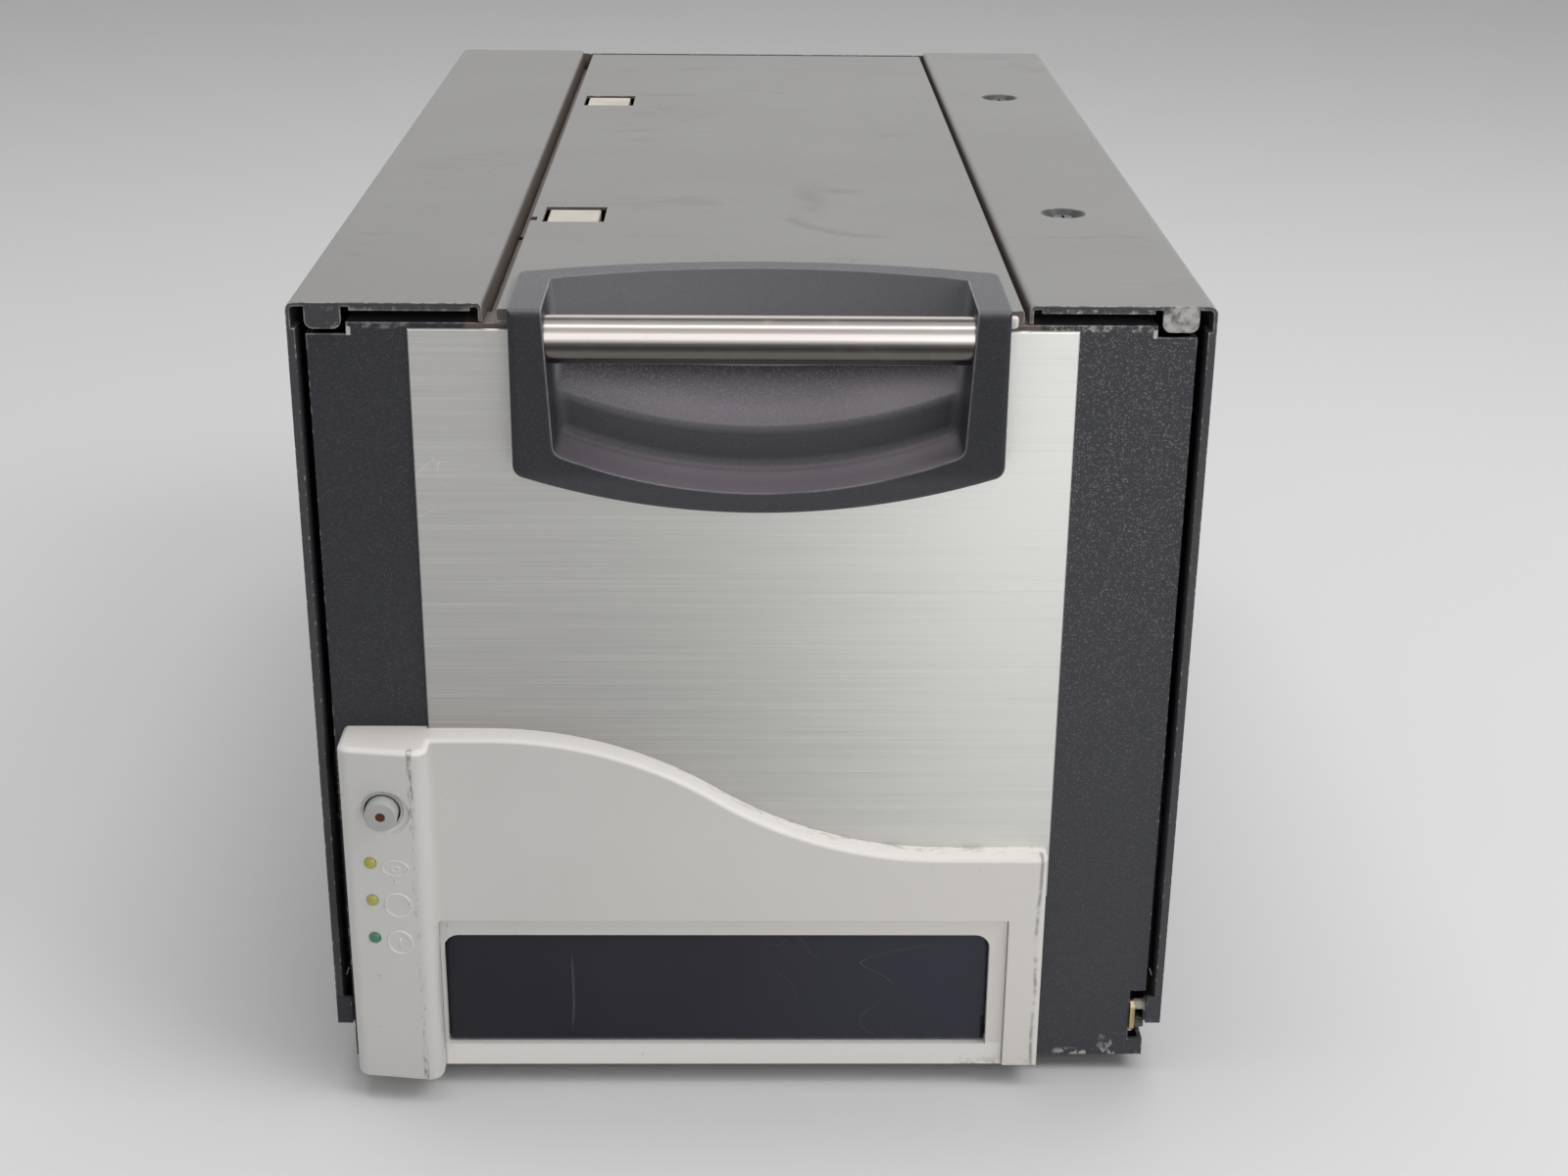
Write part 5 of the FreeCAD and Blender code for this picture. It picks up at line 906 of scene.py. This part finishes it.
def raised_arc(bm, x, z, across, tall, start=0.0, sweep=360.0):
    """A ring of wire, or an arc of one with its two ends closed."""
    whole = sweep == 360.0
    ring = bmesh.new()
    bmesh.ops.create_circle(ring, cap_ends=False, segments=8, radius=wire)
    bmesh.ops.translate(ring, verts=ring.verts, vec=(across / 2, 0, 0))
    turn_part(ring, -start)
    bmesh.ops.spin(ring, geom=ring.edges[:], cent=(0, 0, 0), axis=(0, 1, 0),
                   angle=radians(-sweep), steps=max(8, int(sweep / 9)), use_merge=whole)
    if not whole:
        close_holes(ring)
    bmesh.ops.transform(ring, verts=ring.verts, matrix=on_face(x, z, tall / across))
    add_to(bm, ring)


def raised_bar(bm, x, z, length, thick, turn=0.0, point=1.0):
    """A straight wire along Z, turned about the face, that may end in a point."""
    bar = bmesh.new()
    bmesh.ops.create_cone(bar, cap_ends=True, segments=8, radius1=thick, radius2=thick * point,
                          depth=length)
    turn_part(bar, turn)
    bmesh.ops.transform(bar, verts=bar.verts, matrix=on_face(x, z))
    add_to(bm, bar)


print("the face falls back", round(slant, 3), "mm for each mm to the left")

# %% [markdown]
# A lamp's lens is domed. Half a ball, flattened, stands on each lens so that the soft lamps
# show in it as small bright spots. Cutting a ball with a plane and filling the cut gives it.

# %% Domes on the lenses
def dome(x, z, radius=1.95 * mm):
    bm = bmesh.new()
    bmesh.ops.create_uvsphere(bm, u_segments=32, v_segments=24, radius=radius)
    bmesh.ops.bisect_plane(bm, geom=bm.verts[:] + bm.edges[:] + bm.faces[:],
                           plane_co=(0, 0, 0), plane_no=(0, 1, 0), clear_outer=True)
    close_holes(bm)
    bmesh.ops.transform(bm, verts=bm.verts, matrix=on_face(x, z, deep=0.55))
    return bm


lamp_low, lamp_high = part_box("status_lenses")
lens_x = (lamp_low.x + lamp_high.x) / 2
ready_low, ready_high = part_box("ready_lens")
status_domes = dome(lens_x, lamp_high.z - 2 * mm)
add_to(status_domes, dome(lens_x, lamp_low.z + 2 * mm))
keep("status_domes", status_domes, yellow_lens, "print_unit")
ready_dome = dome(lens_x, (ready_low.z + ready_high.z) / 2)
keep("ready_dome", ready_dome, green_lens, "print_unit")

# %% [markdown]
# From the top: a disc lying flat with its hole and a drop below it, two arrows that chase
# each other round, and a ring with an upright bar. They are common signs, not a maker's.

# %% The three signs
sign_x = white_low.x + 17 * mm
disc_z, chase_z = lamp_high.z - 3.35 * mm, lamp_high.z - 16.8 * mm
bar_z = ready_high.z - 3.15 * mm
signs = bmesh.new()
raised_arc(signs, sign_x - 0.15 * mm, disc_z, 8.6 * mm, 5.4 * mm)
raised_arc(signs, sign_x - 0.05 * mm, disc_z - 0.25 * mm, 2.7 * mm, 1.7 * mm)
raised_bar(signs, sign_x - 0.3 * mm, disc_z - 4.15 * mm, 1.0 * mm, 0.45 * mm, point=0.2)
raised_bar(signs, sign_x - 0.3 * mm, disc_z - 5.05 * mm, 0.8 * mm, 0.5 * mm, turn=90.0)
for start in (8.0, 188.0):
    raised_arc(signs, sign_x + 0.05 * mm, chase_z, 8.4 * mm, 8.4 * mm, start, 158.0)
raised_bar(signs, sign_x + 4.15 * mm, chase_z, 1.3 * mm, 0.75 * mm, turn=180.0, point=0.1)
raised_bar(signs, sign_x - 4.05 * mm, chase_z, 1.3 * mm, 0.75 * mm, point=0.1)
raised_arc(signs, sign_x + 0.05 * mm, bar_z, 7.9 * mm, 8.2 * mm)
raised_bar(signs, sign_x + 0.05 * mm, bar_z - 0.05 * mm, 3.8 * mm, wire)
keep("lamp_signs", signs, bezel_white, "print_unit")

# %% [markdown]
# The handle's bezel is held by a clip on each side, which shows at the top of the panel. A
# clip starts as a block; the bevel rounds it so that it catches light as a moulding does.

# %% Clips beside the handle
def bevel(bm, edges, offset):
    bmesh.ops.bevel(bm, geom=edges, offset=offset, offset_type="OFFSET", segments=3, profile=0.5,
                    material=-1, affect="EDGES")


def block(low, high, round_by):
    """A box between two corners, with all its edges rounded."""
    bm = bmesh.new()
    bmesh.ops.create_cube(bm, size=1.0)
    bmesh.ops.scale(bm, verts=bm.verts, vec=[b - a for a, b in zip(low, high)])
    bmesh.ops.translate(bm, verts=bm.verts, vec=[(a + b) / 2 for a, b in zip(low, high)])
    bevel(bm, bm.edges[:], round_by)
    return bm


bezel_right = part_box("handle_bezel")[1].x
right_clip = block((bezel_right - 0.8 * mm, lid_low.y - 1.2 * mm, lid_z - 5.5 * mm),
                   (bezel_right + 2.8 * mm, lid_low.y + 1.5 * mm, lid_z - 1.5 * mm), 1.1 * mm)
left_clip = block((bezel_low.x - 2.2 * mm, face_y - 0.4 * mm, lid_z - 5.7 * mm),
                  (bezel_low.x + 0.8 * mm, face_y + 4 * mm, lid_z - 2 * mm), 0.9 * mm)
keep("right_clip", right_clip, bezel_white, "print_unit")
keep("left_clip", left_clip, spool_plastic, "print_unit")

# %% [markdown]
# Two nylon studs stand on the side of the latch's tip, where they stop it from rattling in
# its notch. They turn with the latch.

# %% Studs on the latch
latch_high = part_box("latch_lever")[1]


def stud(radius, length, z):
    """A round pin along X, with rounded rims, that starts inside the latch's side."""
    bm = bmesh.new()
    bmesh.ops.create_cone(bm, cap_ends=True, segments=32, radius1=radius, radius2=radius,
                          depth=length)
    rims = [e for e in bm.edges if all(abs(v.co.z) > length * 0.49 for v in e.verts)]
    bevel(bm, rims, 0.25 * mm)
    turn_part(bm, 90)
    middle = latch_high.x - 0.4 * mm + length / 2
    bmesh.ops.translate(bm, verts=bm.verts, vec=(middle, face_y + 1.2 * mm, z))
    return bm


keep("latch_stud_top", stud(1.8 * mm, 4.1 * mm, latch_high.z - 1.8 * mm), cream_plastic,
     "latch_lever")
keep("latch_stud_low", stud(1.4 * mm, 3.8 * mm, latch_high.z - 9.2 * mm), bezel_white,
     "latch_lever")

# %% [markdown]
# ## Stage, light and camera
# The floor is one plain pale grid, wide enough to fill the picture from the front. From behind
# and lower down its far corner shows. A trace of noise keeps it from looking painted on.

# %% Floor
def make_floor():
    mesh = bpy.data.meshes.new("floor")
    bm = bmesh.new()
    bmesh.ops.create_grid(bm, x_segments=1, y_segments=1, size=4.0)
    bm.to_mesh(mesh)
    bm.free()
    floor = bpy.data.objects.new("floor", mesh)
    bpy.context.scene.collection.objects.link(floor)
    f = Finish("floor_paint")
    shade = f.noise(3.0, 2.0)
    f.set(Base_Color=f.mix(shade, colour(232, 232, 232), colour(228, 228, 229)), Roughness=0.7)
    dress(floor, f)
    return floor


floor = make_floor()
print("floor:", floor.name)

# %% [markdown]
# The world gives a weak even light. What the camera and the shiny surfaces see of it is paler
# than what it sheds, which Light Path tells apart, so that the background is pale and the
# object isn't flooded with light.

# %% World
world = bpy.data.worlds.new("studio")
world.use_nodes = True
bpy.context.scene.world = world
sky = world.node_tree
shed = sky.nodes["Background"]
shed.inputs["Color"].default_value = (1.0, 1.0, 1.0, 1.0)
shed.inputs["Strength"].default_value = 0.28
shown = sky.nodes.new("ShaderNodeBackground")
shown.inputs["Color"].default_value = (0.94, 0.94, 0.94, 1.0)
rays = sky.nodes.new("ShaderNodeLightPath")
seen = rays.outputs["Is Camera Ray"]
for kind in ("Is Glossy Ray", "Is Transmission Ray"):
    either = sky.nodes.new("ShaderNodeMath")
    either.operation = "MAXIMUM"
    sky.links.new(seen, either.inputs[0])
    sky.links.new(rays.outputs[kind], either.inputs[1])
    seen = either.outputs[0]
choice = sky.nodes.new("ShaderNodeMixShader")
for source, socket in zip((seen, shed.outputs[0], shown.outputs[0]), choice.inputs):
    sky.links.new(source, socket)
sky.links.new(choice.outputs[0], sky.nodes["World Output"].inputs["Surface"])
print("world: even light, pale to the camera")

# %% [markdown]
# Three large soft lamps do the rest: one above, one high at the right, and a weak one in front.
# Together with the world they light a face so that a colour renders about as it is written.

# %% Lamps
def softbox(name, place, aim, width, height, watts):
    light = bpy.data.lights.new(name, "AREA")
    light.shape = "RECTANGLE"
    light.size, light.size_y, light.energy = width, height, watts
    lamp = bpy.data.objects.new(name, light)
    bpy.context.scene.collection.objects.link(lamp)
    lamp.location = place
    lamp.rotation_euler = (Vector(aim) - Vector(place)).to_track_quat("-Z", "Y").to_euler()
    return lamp


lamps = [softbox("top_lamp", (0.0, 0.1, 2.1), (0, 0, 0.2), 1.6, 1.2, watts=20),
         softbox("key_lamp", (1.3, -0.7, 1.7), (0, 0, 0.15), 1.2, 0.9, watts=13),
         softbox("front_lamp", (0.9, -2.0, 0.9), (0, -0.2, 0.12), 1.2, 0.9, watts=5)]
print("lamps:", [lamp.name for lamp in lamps])

# %% [markdown]
# The camera stands in front of the printer, a little above it, and looks down on it. Three
# angles turn it: yaw about Z, pitch downwards, and a slight roll about its own line of sight.

# %% Camera
eye = Vector((-1.84, -880.65, 448.26)) * mm
yaw, pitch, roll = -0.0178, 0.3884, 0.0098
ahead = Vector((-sin(yaw) * cos(pitch), cos(yaw) * cos(pitch), -sin(pitch)))
level = Vector((cos(yaw), sin(yaw), 0.0))
upright = level.cross(ahead)
right = level * cos(roll) + upright * sin(roll)
up = upright * cos(roll) - level * sin(roll)
camera_data = bpy.data.cameras.new("camera")
camera_data.sensor_width = 36.0
camera_data.lens = 52.9
camera = bpy.data.objects.new("camera", camera_data)
bpy.context.scene.collection.objects.link(camera)
camera.matrix_world = Matrix.Translation(eye) @ Matrix((right, up, -ahead)).transposed().to_4x4()
bpy.context.scene.camera = camera
bpy.context.scene.view_settings.view_transform = "Standard"
print("camera looks along", [round(v, 3) for v in ahead])
